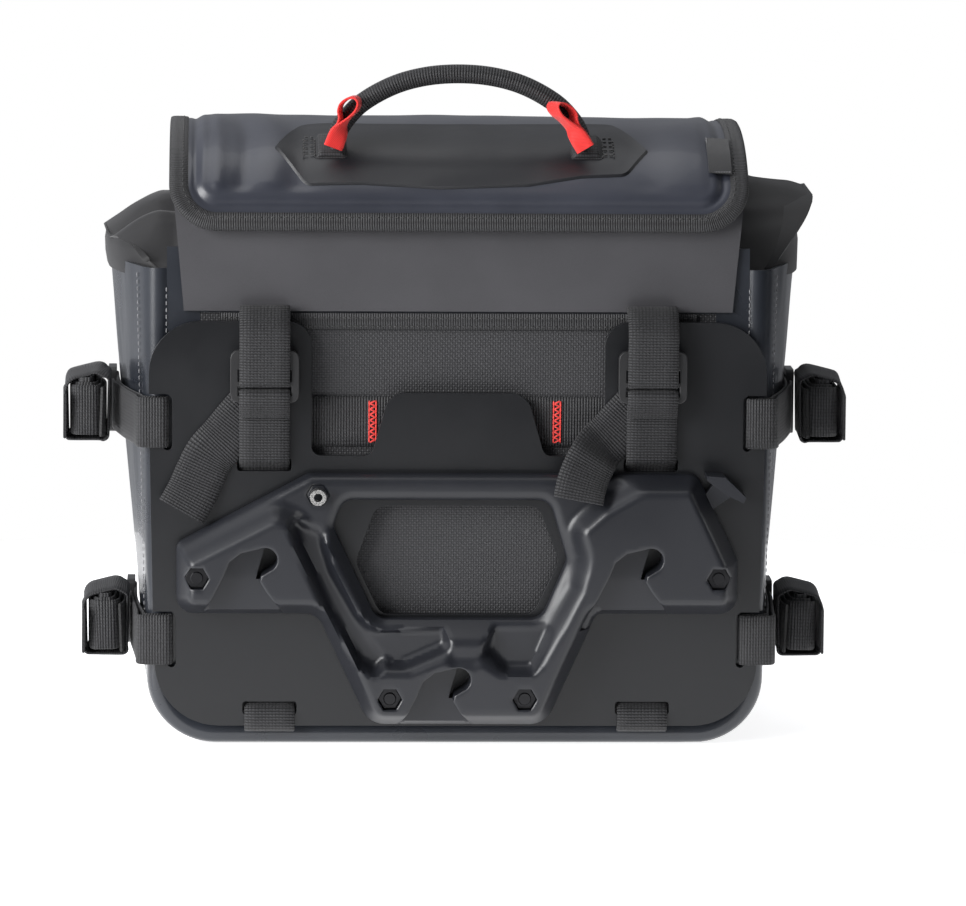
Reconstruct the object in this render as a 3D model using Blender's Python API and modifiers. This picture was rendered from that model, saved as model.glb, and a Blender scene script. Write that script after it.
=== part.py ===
"""Soft pannier bag on a rigid adapter plate, with a three-point carrier bracket.

The bag stands on its base. Its mounting side faces -Y, its front faces +Y and +Z is up.
The origin is the middle of the flat base. Everything is in metres.
"""

import math

import bmesh
import bpy
from mathutils import Matrix, Vector

MM = 0.001

# Clearances and stock
GAP = 0.3 * MM  # between touching pieces
WEB_WIDTH = 25 * MM
WEB_THICK = 1.5 * MM
WALL = 2 * MM  # coated fabric of the bag
BOARD_THICK = 2 * MM  # stiffening boards inside the bag
ARC_STEPS = 5  # straight runs in a quarter round

# Bag
BACK_WIDTH = 308 * MM
BAG_DEPTH = 174 * MM
RIM_HEIGHT = 252 * MM  # top of the back and side walls
FRONT_HEIGHT = 264 * MM  # top of the front wall, where the lid is sewn on
BASE_RADIUS = 34 * MM
RIM_BULGE = 22 * MM  # how far the side walls swell at the rim
BASE_BULGE = 3 * MM
COLLAR_RISE = 27 * MM
ROLL_WIDTH = 276 * MM
ROLL_DEPTH = 28 * MM
ROLL_HEIGHT = 15 * MM
SHELL_WIDTH = 236 * MM
SHELL_HEIGHT = 176 * MM
SHELL_BOTTOM = 38 * MM
SHELL_THICK = 8 * MM
SHELL_RADIUS = 26 * MM

# Lid, which is sewn to the top of the front wall
LID_WIDTH = 288 * MM
LID_THICK = 2.4 * MM
LID_DROP = 256 * MM  # height of its free edge
LID_TOP = 306 * MM
LID_CREST_Y = -10 * MM
LID_CORNER = 24 * MM
LID_OVERHANG = 8.5 * MM  # free edge behind the bag's back wall
BINDING_WIDTH = 9 * MM
BINDING_PROUD = 0.5 * MM
BINDING_THICK = 3.4 * MM
STORM_BOTTOM = 218 * MM
STORM_TAPER = 6 * MM
STORM_THICK = 1.6 * MM
TAPE_THICK = 1.0 * MM
TAPE_HEIGHT = 14 * MM

# Handle on the lid
HANDLE_SPAN = 128 * MM
HANDLE_RISE = 34 * MM
HANDLE_RADIUS = 4.7 * MM
HANDLE_Y = -73 * MM
HANDLE_LIFT = 7.5 * MM  # swing axis above the lid
PATCH_WIDTH = 188 * MM
PATCH_HEIGHT = 60 * MM
PATCH_SHIFT = 7 * MM  # middle of the patch in front of the handle
PATCH_THICK = 1.2 * MM
TAB_WIDTH = 8 * MM
TAB_LENGTH = 21 * MM

# Adapter plate
PLATE_MARGIN = 0.8 * MM  # inside the edge of the back wall
PLATE_THICK = 3 * MM
PLATE_BOTTOM = 10.5 * MM
PLATE_TOP = 213.5 * MM
PLATE_RADIUS = 32 * MM
EAR_RADIUS = 26 * MM
STRAP_X = 96 * MM  # middle of each upright strap
EAR_MARGIN = 10.8 * MM  # plate beside the upright strap
NOTCH_BOTTOM = 146.5 * MM
TAB_TOP = 178 * MM
TAB_HALF_TOP = 34 * MM
TAB_HALF_FOOT = 43 * MM
ANCHOR_SLOT_Z = 142 * MM
LOOP_X = 93 * MM
LOOP_SLOT_Z = 19.5 * MM
SLOT_HEIGHT = 6.6 * MM  # webbing slots
HOOK_SLOT = 4.4 * MM  # open slots in the side edges
SIDE_SLOT_INSET = 11.5 * MM
UPPER_LEVEL = 163 * MM  # middle of the upper side straps
LOWER_LEVEL = 54 * MM

# Carrier bracket
BRACKET_DEPTH = 19 * MM
BRACKET_MARGIN = 13.7 * MM  # inside the plate's edge
BRACKET_TOP = 138 * MM
ARM_BOTTOM = 68 * MM
FOOT_BOTTOM = 12.2 * MM
FOOT_HALF = 43.5 * MM
SEAT_RADIUS = 6 * MM
SEAT_INSET = 44 * MM  # arm seats from the end of the arm
ARM_SEAT_Z = 97 * MM
FOOT_SEAT_Z = 37 * MM
FUNNEL_DEPTH = 9 * MM
BAND_DEPTH = 11 * MM  # recess of the band over the window
BOLT_RADIUS = 3 * MM
BOLT_INSET = 10.2 * MM
ARM_BOLT_Z = 87.5 * MM
FOOT_BOLT_X = 33.5 * MM
FOOT_BOLT_Z = 27 * MM
NUT_ACROSS = 10 * MM
NUT_HEIGHT = 5 * MM
NUT_POCKET = 9 * MM
BOLT_HEAD_RADIUS = 6.5 * MM
BOLT_HEAD_HEIGHT = 2.6 * MM
INSERT_X = -69.5 * MM
INSERT_Z = 128 * MM
INSERT_RADIUS = 4 * MM

# Lock lever in the right arm
LEVER_THICK = 5 * MM
LEVER_INSET = 27.5 * MM
LEVER_Z = 112 * MM
LEVER_HUB = 8 * MM
LEVER_REACH = 36 * MM
LEVER_SWING = 35  # degrees, clockwise as seen from -Y
PIN_RADIUS = 3 * MM
CAVITY_DEPTH = LEVER_THICK + 2 * GAP

# Buckles and rolled strap ends
BUCKLE_WIDTH = 34 * MM
BUCKLE_HEIGHT = 26 * MM
BUCKLE_THICK = 5 * MM
BUCKLE_TOP = 200 * MM
SIDE_BUCKLE_LENGTH = 20 * MM
SIDE_BUCKLE_THICK = 4 * MM
ROLL_END_LENGTH = 48 * MM
ROLL_END_THICK = 17 * MM
KEEPER_WIDTH = 16 * MM
KEEPER_THICK = 1.2 * MM
KEEPER_RISE = 7 * MM  # slack of the keeper band above the roll

# Worked out from the driving dimensions
BACK_Y = -BAG_DEPTH / 2
FRONT_Y = BAG_DEPTH / 2
HALF_BACK = BACK_WIDTH / 2
LAYER_IN = BACK_Y - GAP  # first webbing layer on the back wall
LAYER_OUT = LAYER_IN - WEB_THICK - GAP  # second webbing layer
PLATE_BACK = LAYER_OUT - WEB_THICK - GAP
PLATE_FRONT = PLATE_BACK - PLATE_THICK
PLATE_HALF = HALF_BACK - PLATE_MARGIN
BRACKET_BACK = PLATE_FRONT - GAP
BRACKET_FRONT = BRACKET_BACK - BRACKET_DEPTH
ARM_END = PLATE_HALF - BRACKET_MARGIN
SEAT_X = ARM_END - SEAT_INSET
ARM_BOLT_X = ARM_END - BOLT_INSET
LEVER_X = ARM_END - LEVER_INSET
BINDING_TAPE_Z = STORM_BOTTOM - 5 * MM
COLLAR_BASE = RIM_HEIGHT + 3 * MM
ROLL_Z = COLLAR_BASE + COLLAR_RISE + GAP + ROLL_HEIGHT / 2


def clear_scene():
    for obj in list(bpy.data.objects):
        bpy.data.objects.remove(obj)


def collection(name):
    made = bpy.data.collections.new(name)
    bpy.context.scene.collection.children.link(made)
    return made


def material(name, colour, roughness, metallic=0.0):
    made = bpy.data.materials.new(name)
    made.use_nodes = True
    shader = made.node_tree.nodes["Principled BSDF"]
    shader.inputs["Base Color"].default_value = (*colour, 1)
    shader.inputs["Roughness"].default_value = roughness
    shader.inputs["Metallic"].default_value = metallic
    return made


clear_scene()
PARTS = collection("pannier_bag")
CUTTERS = collection("cutters")

TARPAULIN = material("tarpaulin", (0.05, 0.055, 0.065), 0.4)
BACK_FABRIC = material("back_fabric", (0.07, 0.07, 0.075), 0.8)
MATT_FABRIC = material("matt_fabric", (0.09, 0.09, 0.095), 0.7)
WEBBING = material("webbing", (0.02, 0.02, 0.022), 0.85)
PLATE_COAT = material("plate_coat", (0.025, 0.028, 0.032), 0.5)
MOULDING = material("moulding", (0.05, 0.05, 0.055), 0.45)
BUCKLE_PLASTIC = material("buckle_plastic", (0.03, 0.03, 0.03), 0.4)
RED_TAPE = material("red_tape", (0.8, 0.03, 0.03), 0.7)
STEEL = material("steel", (0.6, 0.6, 0.62), 0.3, 1.0)
DARK_STEEL = material("dark_steel", (0.05, 0.05, 0.05), 0.4, 1.0)
BOARD = material("board", (0.03, 0.03, 0.03), 0.6)


def finish(obj, finish_material, group=None):
    """Gives the object its material and moves it into its collection."""
    for owner in list(obj.users_collection):
        owner.objects.unlink(obj)
    (group or PARTS).objects.link(obj)
    obj.data.materials.clear()
    if finish_material:
        obj.data.materials.append(finish_material)
    if group is CUTTERS:
        obj.hide_render = True
        obj.display_type = "WIRE"
    return obj


def arc(centre, radius, start, end, steps=ARC_STEPS):
    """Points along an arc, angles in degrees, anticlockwise when end is larger."""
    points = []
    for k in range(steps + 1):
        angle = math.radians(start + (end - start) * k / steps)
        points.append((centre[0] + radius * math.cos(angle), centre[1] + radius * math.sin(angle)))
    return points


def circle(centre, radius, steps=20):
    return arc(centre, radius, 0, 360 - 360 / steps, steps - 1)


def hexagon(centre, across):
    return arc(centre, across / math.sqrt(3), 0, 300, 5)


def rounded(corners, steps=ARC_STEPS):
    """A closed outline with its corners rounded. Each corner is (x, y, radius)."""
    outline = []
    count = len(corners)
    for k, (x, y, radius) in enumerate(corners):
        here = Vector((x, y))
        if radius <= 0:
            outline.append((x, y))
            continue
        before = (Vector(corners[k - 1][:2]) - here).normalized()
        after = (Vector(corners[(k + 1) % count][:2]) - here).normalized()
        half = before.angle(after) / 2
        centre = here + (before + after).normalized() * (radius / math.sin(half))
        start = here + before * (radius / math.tan(half)) - centre
        end = here + after * (radius / math.tan(half)) - centre
        turn = math.atan2(start.x * end.y - start.y * end.x, start.dot(end))
        for n in range(steps + 1):
            angle = turn * n / steps
            outline.append(
                (
                    centre.x + start.x * math.cos(angle) - start.y * math.sin(angle),
                    centre.y + start.x * math.sin(angle) + start.y * math.cos(angle),
                )
            )
    return outline


def box_outline(low, high, radius=0.0, steps=ARC_STEPS):
    (x0, y0), (x1, y1) = low, high
    return rounded([(x0, y0, radius), (x1, y0, radius), (x1, y1, radius), (x0, y1, radius)], steps)


def mirrored(outline):
    return [(-x, y) for x, y in reversed(outline)]


def moved(outline, x, y):
    return [(px + x, py + y) for px, py in outline]


def smooth(points, per_run=4):
    """A smooth open path through the points."""
    path = []
    ends = [points[0], *points, points[-1]]
    for k in range(1, len(ends) - 2):
        a, b, c, d = (Vector(p) for p in ends[k - 1 : k + 3])
        for n in range(per_run):
            t = n / per_run
            at = 0.5 * (2 * b + (c - a) * t + (2 * a - 5 * b + 4 * c - d) * t**2)
            at += 0.5 * (3 * b - a - 3 * c + d) * t**3
            path.append(tuple(at))
    path.append(tuple(points[-1]))
    return path


def ribbon(path, thickness):
    """The outline of a band of even thickness that follows a path."""
    left, right = [], []
    for k, point in enumerate(path):
        here = Vector(point)
        ahead = (Vector(path[min(k + 1, len(path) - 1)]) - here).normalized()
        behind = (here - Vector(path[max(k - 1, 0)])).normalized()
        along = (ahead + behind).normalized()
        side = Vector((-along.y, along.x)) * (thickness / 2)
        whole = ahead if ahead.length else behind
        mitre = max(along.dot(whole), 0.6)
        left.append(tuple(here + side / mitre))
        right.append(tuple(here - side / mitre))
    return left + right[::-1]


TURNS = {
    "X": (math.pi / 2, 0, math.pi / 2),  # outline in Y and Z
    "Y": (math.pi / 2, 0, 0),  # outline in X and Z
    "Z": (0, 0, 0),  # outline in X and Y
}


def flat_piece(name, outlines, axis, low, high, finish_material, group=None):
    """Outlines filled and drawn out along an axis from low to high. Inner outlines are holes."""
    shape = bpy.data.curves.new(name, "CURVE")
    shape.dimensions = "2D"
    shape.fill_mode = "BOTH"
    shape.extrude = (high - low) / 2
    for outline in outlines:
        spline = shape.splines.new("POLY")
        spline.points.add(len(outline) - 1)
        for point, (x, y) in zip(spline.points, outline):
            point.co = (x, y, 0, 1)
        spline.use_cyclic_u = True
    obj = bpy.data.objects.new(name, shape)
    obj.rotation_euler = TURNS[axis]
    setattr(obj.location, axis.lower(), (low + high) / 2)
    return finish(obj, finish_material, group)


def as_mesh(obj):
    """Turns a curve object into a closed mesh object of the same name and place."""
    bpy.context.view_layer.update()
    graph = bpy.context.evaluated_depsgraph_get()
    data = bpy.data.meshes.new_from_object(obj.evaluated_get(graph))
    shape = bmesh.new()
    shape.from_mesh(data)
    bmesh.ops.remove_doubles(shape, verts=shape.verts, dist=0.001 * MM)
    bmesh.ops.recalc_face_normals(shape, faces=shape.faces)
    shape.to_mesh(data)
    shape.free()
    name, place, group = obj.name, obj.matrix_world.copy(), obj.users_collection[0]
    kept = obj.data.materials[0] if obj.data.materials else None
    bpy.data.objects.remove(obj)
    solid = bpy.data.objects.new(name, data)
    solid.matrix_world = place
    return finish(solid, kept, group)


def cut(obj, cutter, operation="DIFFERENCE"):
    modifier = obj.modifiers.new(cutter.name, "BOOLEAN")
    modifier.operation = operation
    modifier.object = cutter


def cutter(name, outlines, axis, low, high):
    return as_mesh(flat_piece(name, outlines, axis, low, high, None, CUTTERS))


def sheet(name, across, along, place, thickness, finish_material, offset=-1):
    """A grid of across by along cells, each point put in place by its two shares, then thickened."""
    data = bpy.data.meshes.new(name)
    shape = bmesh.new()
    bmesh.ops.create_grid(shape, x_segments=across, y_segments=along, size=0.5)
    for point in shape.verts:
        point.co = place(point.co.x + 0.5, point.co.y + 0.5)
    shape.to_mesh(data)
    shape.free()
    obj = bpy.data.objects.new(name, data)
    thicken = obj.modifiers.new("thickness", "SOLIDIFY")
    thicken.thickness = thickness
    thicken.offset = offset
    thicken.use_even_offset = True
    return finish(obj, finish_material)


# ---------------------------------------------------------------- bag body


def wall_outline(half, height):
    """Back or front wall: square at the top, round at the bottom."""
    radius = BASE_RADIUS
    corners = [(-half, height, 0), (-half, 0, radius), (half, 0, radius), (half, height, 0)]
    return rounded(corners, 8)


def side_wall(y, z):
    """How far out the side wall's outer face is at a depth and a height."""
    share = min(max((z - BASE_RADIUS) / (RIM_HEIGHT - BASE_RADIUS), 0), 1)
    bulge = BASE_BULGE + (RIM_BULGE - BASE_BULGE) * share
    return HALF_BACK + bulge * (1 - (y / FRONT_Y) ** 2)


def back_wall():
    flat_piece("back_panel", [wall_outline(HALF_BACK, RIM_HEIGHT)], "Y", BACK_Y, BACK_Y + WALL, BACK_FABRIC)
    low = Vector((-HALF_BACK + 8 * MM, WALL + 6 * MM))
    board = box_outline(low, (-low.x, RIM_HEIGHT - 10 * MM), 26 * MM)
    inner = BACK_Y + WALL + GAP
    flat_piece("back_stiffener", [board], "Y", inner, inner + BOARD_THICK, BOARD)


def front_wall():
    outline = wall_outline(HALF_BACK, RIM_HEIGHT)
    half = LID_WIDTH / 2
    raised = [(half, RIM_HEIGHT), (half, FRONT_HEIGHT), (-half, FRONT_HEIGHT), (-half, RIM_HEIGHT)]
    flat_piece("front_panel", [outline + raised], "Y", FRONT_Y - WALL, FRONT_Y, TARPAULIN)
    low = (-SHELL_WIDTH / 2, SHELL_BOTTOM)
    high = (SHELL_WIDTH / 2, SHELL_BOTTOM + SHELL_HEIGHT)
    start = FRONT_Y + GAP
    flat_piece("front_shell", [box_outline(low, high, SHELL_RADIUS)], "Y", start, start + SHELL_THICK, TARPAULIN)


def base_and_sides():
    inset = WALL / 2
    half, radius = HALF_BACK - inset, BASE_RADIUS - inset
    centre_z = inset + radius
    path = arc((-half + radius, centre_z), radius, 180, 270, 8)
    path += arc((half - radius, centre_z), radius, 270, 360, 8)
    start, end = BACK_Y + WALL + GAP, FRONT_Y - WALL - GAP
    flat_piece("base_panel", [ribbon(path, WALL)], "Y", start, end, TARPAULIN)
    board_half = HALF_BACK - BASE_RADIUS
    board_start = start + BOARD_THICK + GAP
    low = WALL + GAP
    outline = box_outline((-board_half, board_start), (board_half, end), 6 * MM)
    flat_piece("base_stiffener", [outline], "Z", low, low + BOARD_THICK, BOARD)
    bottom = BASE_RADIUS + GAP
    for name, side in (("side_panel_left", -1), ("side_panel_right", 1)):

        def place(u, v, side=side):
            y = start + (end - start) * (u if side > 0 else 1 - u)
            z = bottom + (RIM_HEIGHT - bottom) * v
            return Vector((side * side_wall(y, z), y, z))

        sheet(name, 8, 5, place, WALL, TARPAULIN)


def collar_height(x, y):
    """Outer face of the gathered collar: a ridge along X that drops towards its ends."""
    across = 1 - min(abs(y) / FRONT_Y, 1) ** 1.3
    end = min(max((abs(x) - 0.38 * BACK_WIDTH) / (0.17 * BACK_WIDTH), 0), 1)
    return COLLAR_BASE + COLLAR_RISE * across * (1 - 0.75 * end * end * (3 - 2 * end))


def roll_top():
    def place(u, v):
        y = BACK_Y + WALL + 3 * MM + (BAG_DEPTH - 2 * WALL - 6 * MM) * v
        x = (2 * u - 1) * (side_wall(y, RIM_HEIGHT) - WALL)
        return Vector((x, y, collar_height(x, y)))

    sheet("roll_collar", 12, 8, place, WALL, TARPAULIN)
    section = [
        (0.5 * ROLL_DEPTH * math.cos(a), ROLL_Z + 0.5 * ROLL_HEIGHT * math.sin(a))
        for a in (2 * math.pi * k / 16 for k in range(16))
    ]
    flat_piece("roll_bundle", [section], "X", -ROLL_WIDTH / 2, ROLL_WIDTH / 2, TARPAULIN)


# ---------------------------------------------------------------- lid and storm panel


def bezier(a, b, c, d, t):
    return a * (1 - t) ** 3 + 3 * b * t * (1 - t) ** 2 + 3 * c * t**2 * (1 - t) + d * t**3


def lid_section():
    """Points of the lid's outer face in Y and Z, from its free edge over the top to its seam."""
    crest = Vector((LID_CREST_Y, LID_TOP))
    edge = Vector((BACK_Y - LID_OVERHANG, LID_DROP))
    seam = Vector((FRONT_Y + 1 * MM, FRONT_HEIGHT + 4 * MM))
    rear_pull = Vector((edge.x - 1.5 * MM, edge.y + 0.68 * (LID_TOP - LID_DROP)))
    rear = [edge, rear_pull, Vector((crest.x - 50 * MM, crest.y)), crest]
    front_pull = Vector((seam.x - 18 * MM, seam.y + 0.7 * (LID_TOP - seam.y)))
    front = [crest, Vector((crest.x + 45 * MM, crest.y)), front_pull, seam]
    steps = 24
    points = [bezier(*rear, k / steps) for k in range(steps)]
    return points + [bezier(*front, k / steps) for k in range(steps + 1)]


SECTION = lid_section()
REACH = [0.0]
for first, second in zip(SECTION, SECTION[1:]):
    REACH.append(REACH[-1] + (second - first).length)
LID_LENGTH = REACH[-1]


def on_lid(x, s, lift=0.0):
    """The point of the lid's outer face at x and at a distance s from its free edge, lifted off it."""
    s = min(max(s, 0.0), LID_LENGTH)
    k = next(n for n in range(1, len(REACH)) if REACH[n] >= s - 1e-9)
    a, b = SECTION[k - 1], SECTION[k]
    at = a.lerp(b, (s - REACH[k - 1]) / (REACH[k] - REACH[k - 1]))
    before = (SECTION[k] - SECTION[max(k - 2, 0)]).normalized()
    after = (SECTION[min(k + 1, len(SECTION) - 1)] - SECTION[k - 1]).normalized()
    along = before.lerp(after, (s - REACH[k - 1]) / (REACH[k] - REACH[k - 1])).normalized()
    return Vector((x, at.x - along.y * lift, at.y + along.x * lift))


def reach_at_depth(y):
    """How far along the lid from its free edge the depth y is."""
    k = next(n for n in range(1, len(SECTION)) if SECTION[n].x >= y)
    a, b = SECTION[k - 1], SECTION[k]
    return REACH[k - 1] + (REACH[k] - REACH[k - 1]) * (y - a.x) / (b.x - a.x)


def lid_half(s, inset):
    """Half the lid's width at s, for an outline set in from its edge, with round free corners."""
    radius = LID_CORNER - inset
    short = max(radius - (s - inset), 0)
    return LID_WIDTH / 2 - inset - radius + math.sqrt(max(radius**2 - short**2, 0))


def lid():
    inset = BINDING_WIDTH + 2 * GAP
    start, stop = inset + GAP, LID_LENGTH - 1 * MM

    def flap(u, v):
        s = start + (stop - start) * v**1.4
        return on_lid((2 * u - 1) * lid_half(s, inset), s)

    sheet("lid_flap", 6, 18, flap, LID_THICK, TARPAULIN)

    straight, quarter = stop - LID_CORNER, math.pi / 2

    def binding(u, v):
        """u runs from the left seam round the free edge to the right seam, v across the tape."""
        inward = BINDING_WIDTH * v
        half, radius = LID_WIDTH / 2, LID_CORNER - inward
        stretch, share = divmod(u * 5, 1)
        if stretch >= 5:
            stretch, share = 4, 1.0
        if stretch == 0:
            x, s = -half + inward, stop - straight * share
        elif stretch == 4:
            x, s = half - inward, LID_CORNER + straight * share
        elif stretch == 2:
            x, s = (half - LID_CORNER) * (2 * share - 1), inward
        else:
            turn = quarter * (share if stretch == 1 else 1 - share)
            x = half - LID_CORNER + radius * math.cos(turn)
            s = LID_CORNER - radius * math.sin(turn)
            x = -x if stretch == 1 else x
        return on_lid(x, s, BINDING_PROUD)

    sheet("lid_binding", 50, 1, binding, BINDING_THICK, WEBBING)

    reach = reach_at_depth(HANDLE_Y)

    def patch(u, v):
        x = (2 * u - 1) * PATCH_WIDTH / 2
        taper = min((PATCH_WIDTH / 2 - abs(x)) / (16 * MM), 1)
        tall = PATCH_HEIGHT * (0.12 + 0.88 * taper)
        return on_lid(x, reach + PATCH_SHIFT * taper + tall * (v - 0.5), 2 * GAP + PATCH_THICK)

    sheet("handle_patch", 24, 10, patch, PATCH_THICK, TARPAULIN)

    def label(u, v):
        x = LID_WIDTH / 2 - BINDING_WIDTH - 1 * MM - 11 * MM * (1 - u)
        return on_lid(x, 32 * MM + 30 * MM * v, GAP + 0.8 * MM)

    sheet("side_label", 1, 4, label, 0.8 * MM, WEBBING)

    def hook_tape(u, v):
        x = (2 * u - 1) * (LID_WIDTH / 2 - LID_CORNER)
        return on_lid(x, BINDING_WIDTH + 3 * MM + TAPE_HEIGHT * v, -LID_THICK - GAP)

    sheet("lid_hook_tape", 1, 3, hook_tape, TAPE_THICK, WEBBING)


def storm_route():
    """Middle of the storm panel in Y and Z: flat on the back wall, then close under the lid."""
    flat = LAYER_IN - STORM_THICK / 2
    below = LID_THICK + 4 * GAP + 2 * TAPE_THICK + STORM_THICK / 2
    under = [tuple(on_lid(0, s * MM, -below).yz) for s in (8, 16, 25, 34)]
    return smooth([(flat, STORM_BOTTOM), (flat, STORM_BOTTOM + 12 * MM), (flat, LID_DROP - 14 * MM), *under], 3)


def storm_panel():
    route = storm_route()

    def panel(u, v):
        y, z = route[round(v * (len(route) - 1))]
        half = LID_WIDTH / 2 - 2 * MM - STORM_TAPER * (1 - v)
        return Vector(((2 * u - 1) * half, y, z))

    sheet("storm_panel", 2, len(route) - 1, panel, STORM_THICK, MATT_FABRIC, 0)

    def tape(u, v):
        s = BINDING_WIDTH + 3 * MM + TAPE_HEIGHT * v
        return on_lid((2 * u - 1) * (LID_WIDTH / 2 - LID_CORNER), s, -LID_THICK - 2 * GAP - TAPE_THICK)

    sheet("storm_loop_tape", 1, 3, tape, TAPE_THICK, WEBBING)


def back_trim():
    """Binding and pocket webbing sewn flat on the back wall, with two bartacks."""
    half = STRAP_X + 22 * MM
    low, high = BINDING_TAPE_Z - 4 * MM, BINDING_TAPE_Z + 4 * MM
    outline = box_outline((-half, low), (half, high))
    flat_piece("back_binding", [outline], "Y", LAYER_IN - WEB_THICK, LAYER_IN, WEBBING)
    band_low = NOTCH_BOTTOM + 4 * MM
    outline = box_outline((-half, band_low), (half, band_low + WEB_WIDTH))
    flat_piece("pocket_webbing", [outline], "Y", LAYER_IN - WEB_THICK, LAYER_IN, WEBBING)
    face = LAYER_IN - WEB_THICK - GAP
    for name, side in (("left", -1), ("right", 1)):
        x = side * (TAB_HALF_FOOT + 3.5 * MM)
        low = (x - 1.1 * MM, band_low + 2 * MM)
        tack = box_outline(low, (x + 1.1 * MM, band_low + WEB_WIDTH - 2 * MM))
        flat_piece(f"red_bartack_{name}", [tack], "Y", face - 0.7 * MM, face, RED_TAPE)


# ---------------------------------------------------------------- handle

HANDLE_AXIS = on_lid(0, reach_at_depth(HANDLE_Y)) + Vector((0, 0, HANDLE_LIFT))


def handle():
    half = HANDLE_SPAN / 2
    shape = bpy.data.curves.new("handle_grip", "CURVE")
    shape.dimensions = "3D"
    shape.bevel_depth = HANDLE_RADIUS
    shape.bevel_resolution = 2
    shape.use_fill_caps = True
    route = smooth([(-half, 0), (-half + 9 * MM, 0.36 * HANDLE_RISE), (-0.5 * half, 0.85 * HANDLE_RISE), (0, HANDLE_RISE)])
    route += [(-x, z) for x, z in reversed(route[:-1])]
    spline = shape.splines.new("POLY")
    spline.points.add(len(route) - 1)
    for point, (x, z) in zip(spline.points, route):
        point.co = (x, HANDLE_AXIS.y, HANDLE_AXIS.z + z, 1)
    finish(bpy.data.objects.new("handle_grip", shape), WEBBING)

    front = HANDLE_AXIS.y - HANDLE_RADIUS - GAP
    foot = (-half + 3 * MM, HANDLE_AXIS.z + 7 * MM)
    top = (foot[0] - 1 * MM, foot[1] + TAB_LENGTH)
    loop = arc((top[0], top[1] - TAB_WIDTH / 2), TAB_WIDTH / 2, -10, 190, 8)
    outer = loop + [(foot[0] - 1 * MM, foot[1]), (foot[0] + 5 * MM, foot[1])]
    hole = arc((top[0], top[1] - TAB_WIDTH / 2), TAB_WIDTH / 2 - 1.4 * MM, -10, 190, 8)
    hole.append((foot[0] + 1 * MM, foot[1] + 0.42 * TAB_LENGTH))
    for name, place in (("red_tab_left", lambda o: o), ("red_tab_right", mirrored)):
        flat_piece(name, [place(outer), place(hole)], "Y", front - TAB_WIDTH, front, RED_TAPE)


def handle_anchors():
    """The sewn webbing feet below each end of the handle, cut to follow the lid and clear of its swing."""
    start = reach_at_depth(HANDLE_Y) - 9 * MM
    low = 3 * GAP + PATCH_THICK
    high = low + 1.6 * MM
    places = [start + 8.5 * MM * k / 4 for k in range(5)]
    outline = [tuple(on_lid(0, s, low).yz) for s in places] + [tuple(on_lid(0, s, high).yz) for s in reversed(places)]
    for name, side in (("left", -1), ("right", 1)):
        middle = side * (HANDLE_SPAN / 2 + 2 * MM)
        flat_piece(f"handle_anchor_{name}", [outline], "X", middle - 9 * MM, middle + 9 * MM, WEBBING)


# ---------------------------------------------------------------- adapter plate


def plate_half(z):
    """The plate narrows a little towards its foot."""
    return PLATE_HALF - 3 * MM * min(max((150 * MM - z) / (140 * MM), 0), 1)


def side_slot(level):
    """An open slot in the plate's right edge: the strap slips in at the top and hooks over the finger."""
    edge = plate_half(level)
    inner = edge - SIDE_SLOT_INSET
    finger = inner + HOOK_SLOT
    low, high = level - WEB_WIDTH / 2 - 1.5 * MM, level + WEB_WIDTH / 2 + 1.5 * MM
    return [
        (edge, high - 6 * MM),
        (finger + 1.5 * MM, high - 6 * MM),
        (finger, high - 7.5 * MM),
        *arc((inner + HOOK_SLOT / 2, low + HOOK_SLOT / 2), HOOK_SLOT / 2, 0, -180, 6),
        (inner, high - 2 * MM),
        (inner + 2 * MM, high),
        (edge, high),
    ]


def adapter_plate():
    ear_inner = STRAP_X - WEB_WIDTH / 2 - EAR_MARGIN
    foot = plate_half(0)
    corners = [
        (0, PLATE_BOTTOM, 0),
        (foot, PLATE_BOTTOM, PLATE_RADIUS),
    ]
    right = rounded([*corners, (foot, PLATE_BOTTOM + 2 * PLATE_RADIUS, 0)], 12)[:-1]
    right += side_slot(LOWER_LEVEL)
    right += side_slot(UPPER_LEVEL)
    upper = [
        (plate_half(PLATE_TOP), UPPER_LEVEL + 16 * MM, 0),
        (plate_half(PLATE_TOP), PLATE_TOP, EAR_RADIUS),
        (ear_inner, PLATE_TOP, 12 * MM),
        (ear_inner, NOTCH_BOTTOM, 5 * MM),
        (TAB_HALF_FOOT, NOTCH_BOTTOM, 5 * MM),
        (TAB_HALF_TOP, TAB_TOP, 11 * MM),
        (0, TAB_TOP, 0),
    ]
    right += rounded(upper, 9)
    outline = right + mirrored(right)[1:-1]
    window = [
        (-40.5, 121.5, 7),
        (-50.5, 93.5, 7),
        (-38, 67, 7),
        (38, 67, 7),
        (50.5, 93.5, 7),
        (40.5, 121.5, 7),
    ]
    holes = [rounded([(x * MM, z * MM, r * MM) for x, z, r in window], 3)]
    for x, z in [(STRAP_X, ANCHOR_SLOT_Z), (LOOP_X, LOOP_SLOT_Z)]:
        half = WEB_WIDTH / 2 + 1 * MM
        slot = box_outline((x - half, z - SLOT_HEIGHT / 2), (x + half, z + SLOT_HEIGHT / 2), 1.5 * MM, 2)
        holes += [slot, mirrored(slot)]
    for x, z in bolt_places():
        holes.append(circle((x, z), BOLT_RADIUS + GAP, 16))
    flat_piece("adapter_plate", [outline, *holes], "Y", PLATE_FRONT, PLATE_BACK, PLATE_COAT)


# ---------------------------------------------------------------- carrier bracket


def bolt_places():
    places = []
    for side in (-1, 1):
        places += [(side * ARM_BOLT_X, ARM_BOLT_Z), (side * FOOT_BOLT_X, FOOT_BOLT_Z)]
    return places


def seat_places():
    return [(-SEAT_X, ARM_SEAT_Z), (SEAT_X, ARM_SEAT_Z), (0.5 * MM, FOOT_SEAT_Z)]


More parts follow.
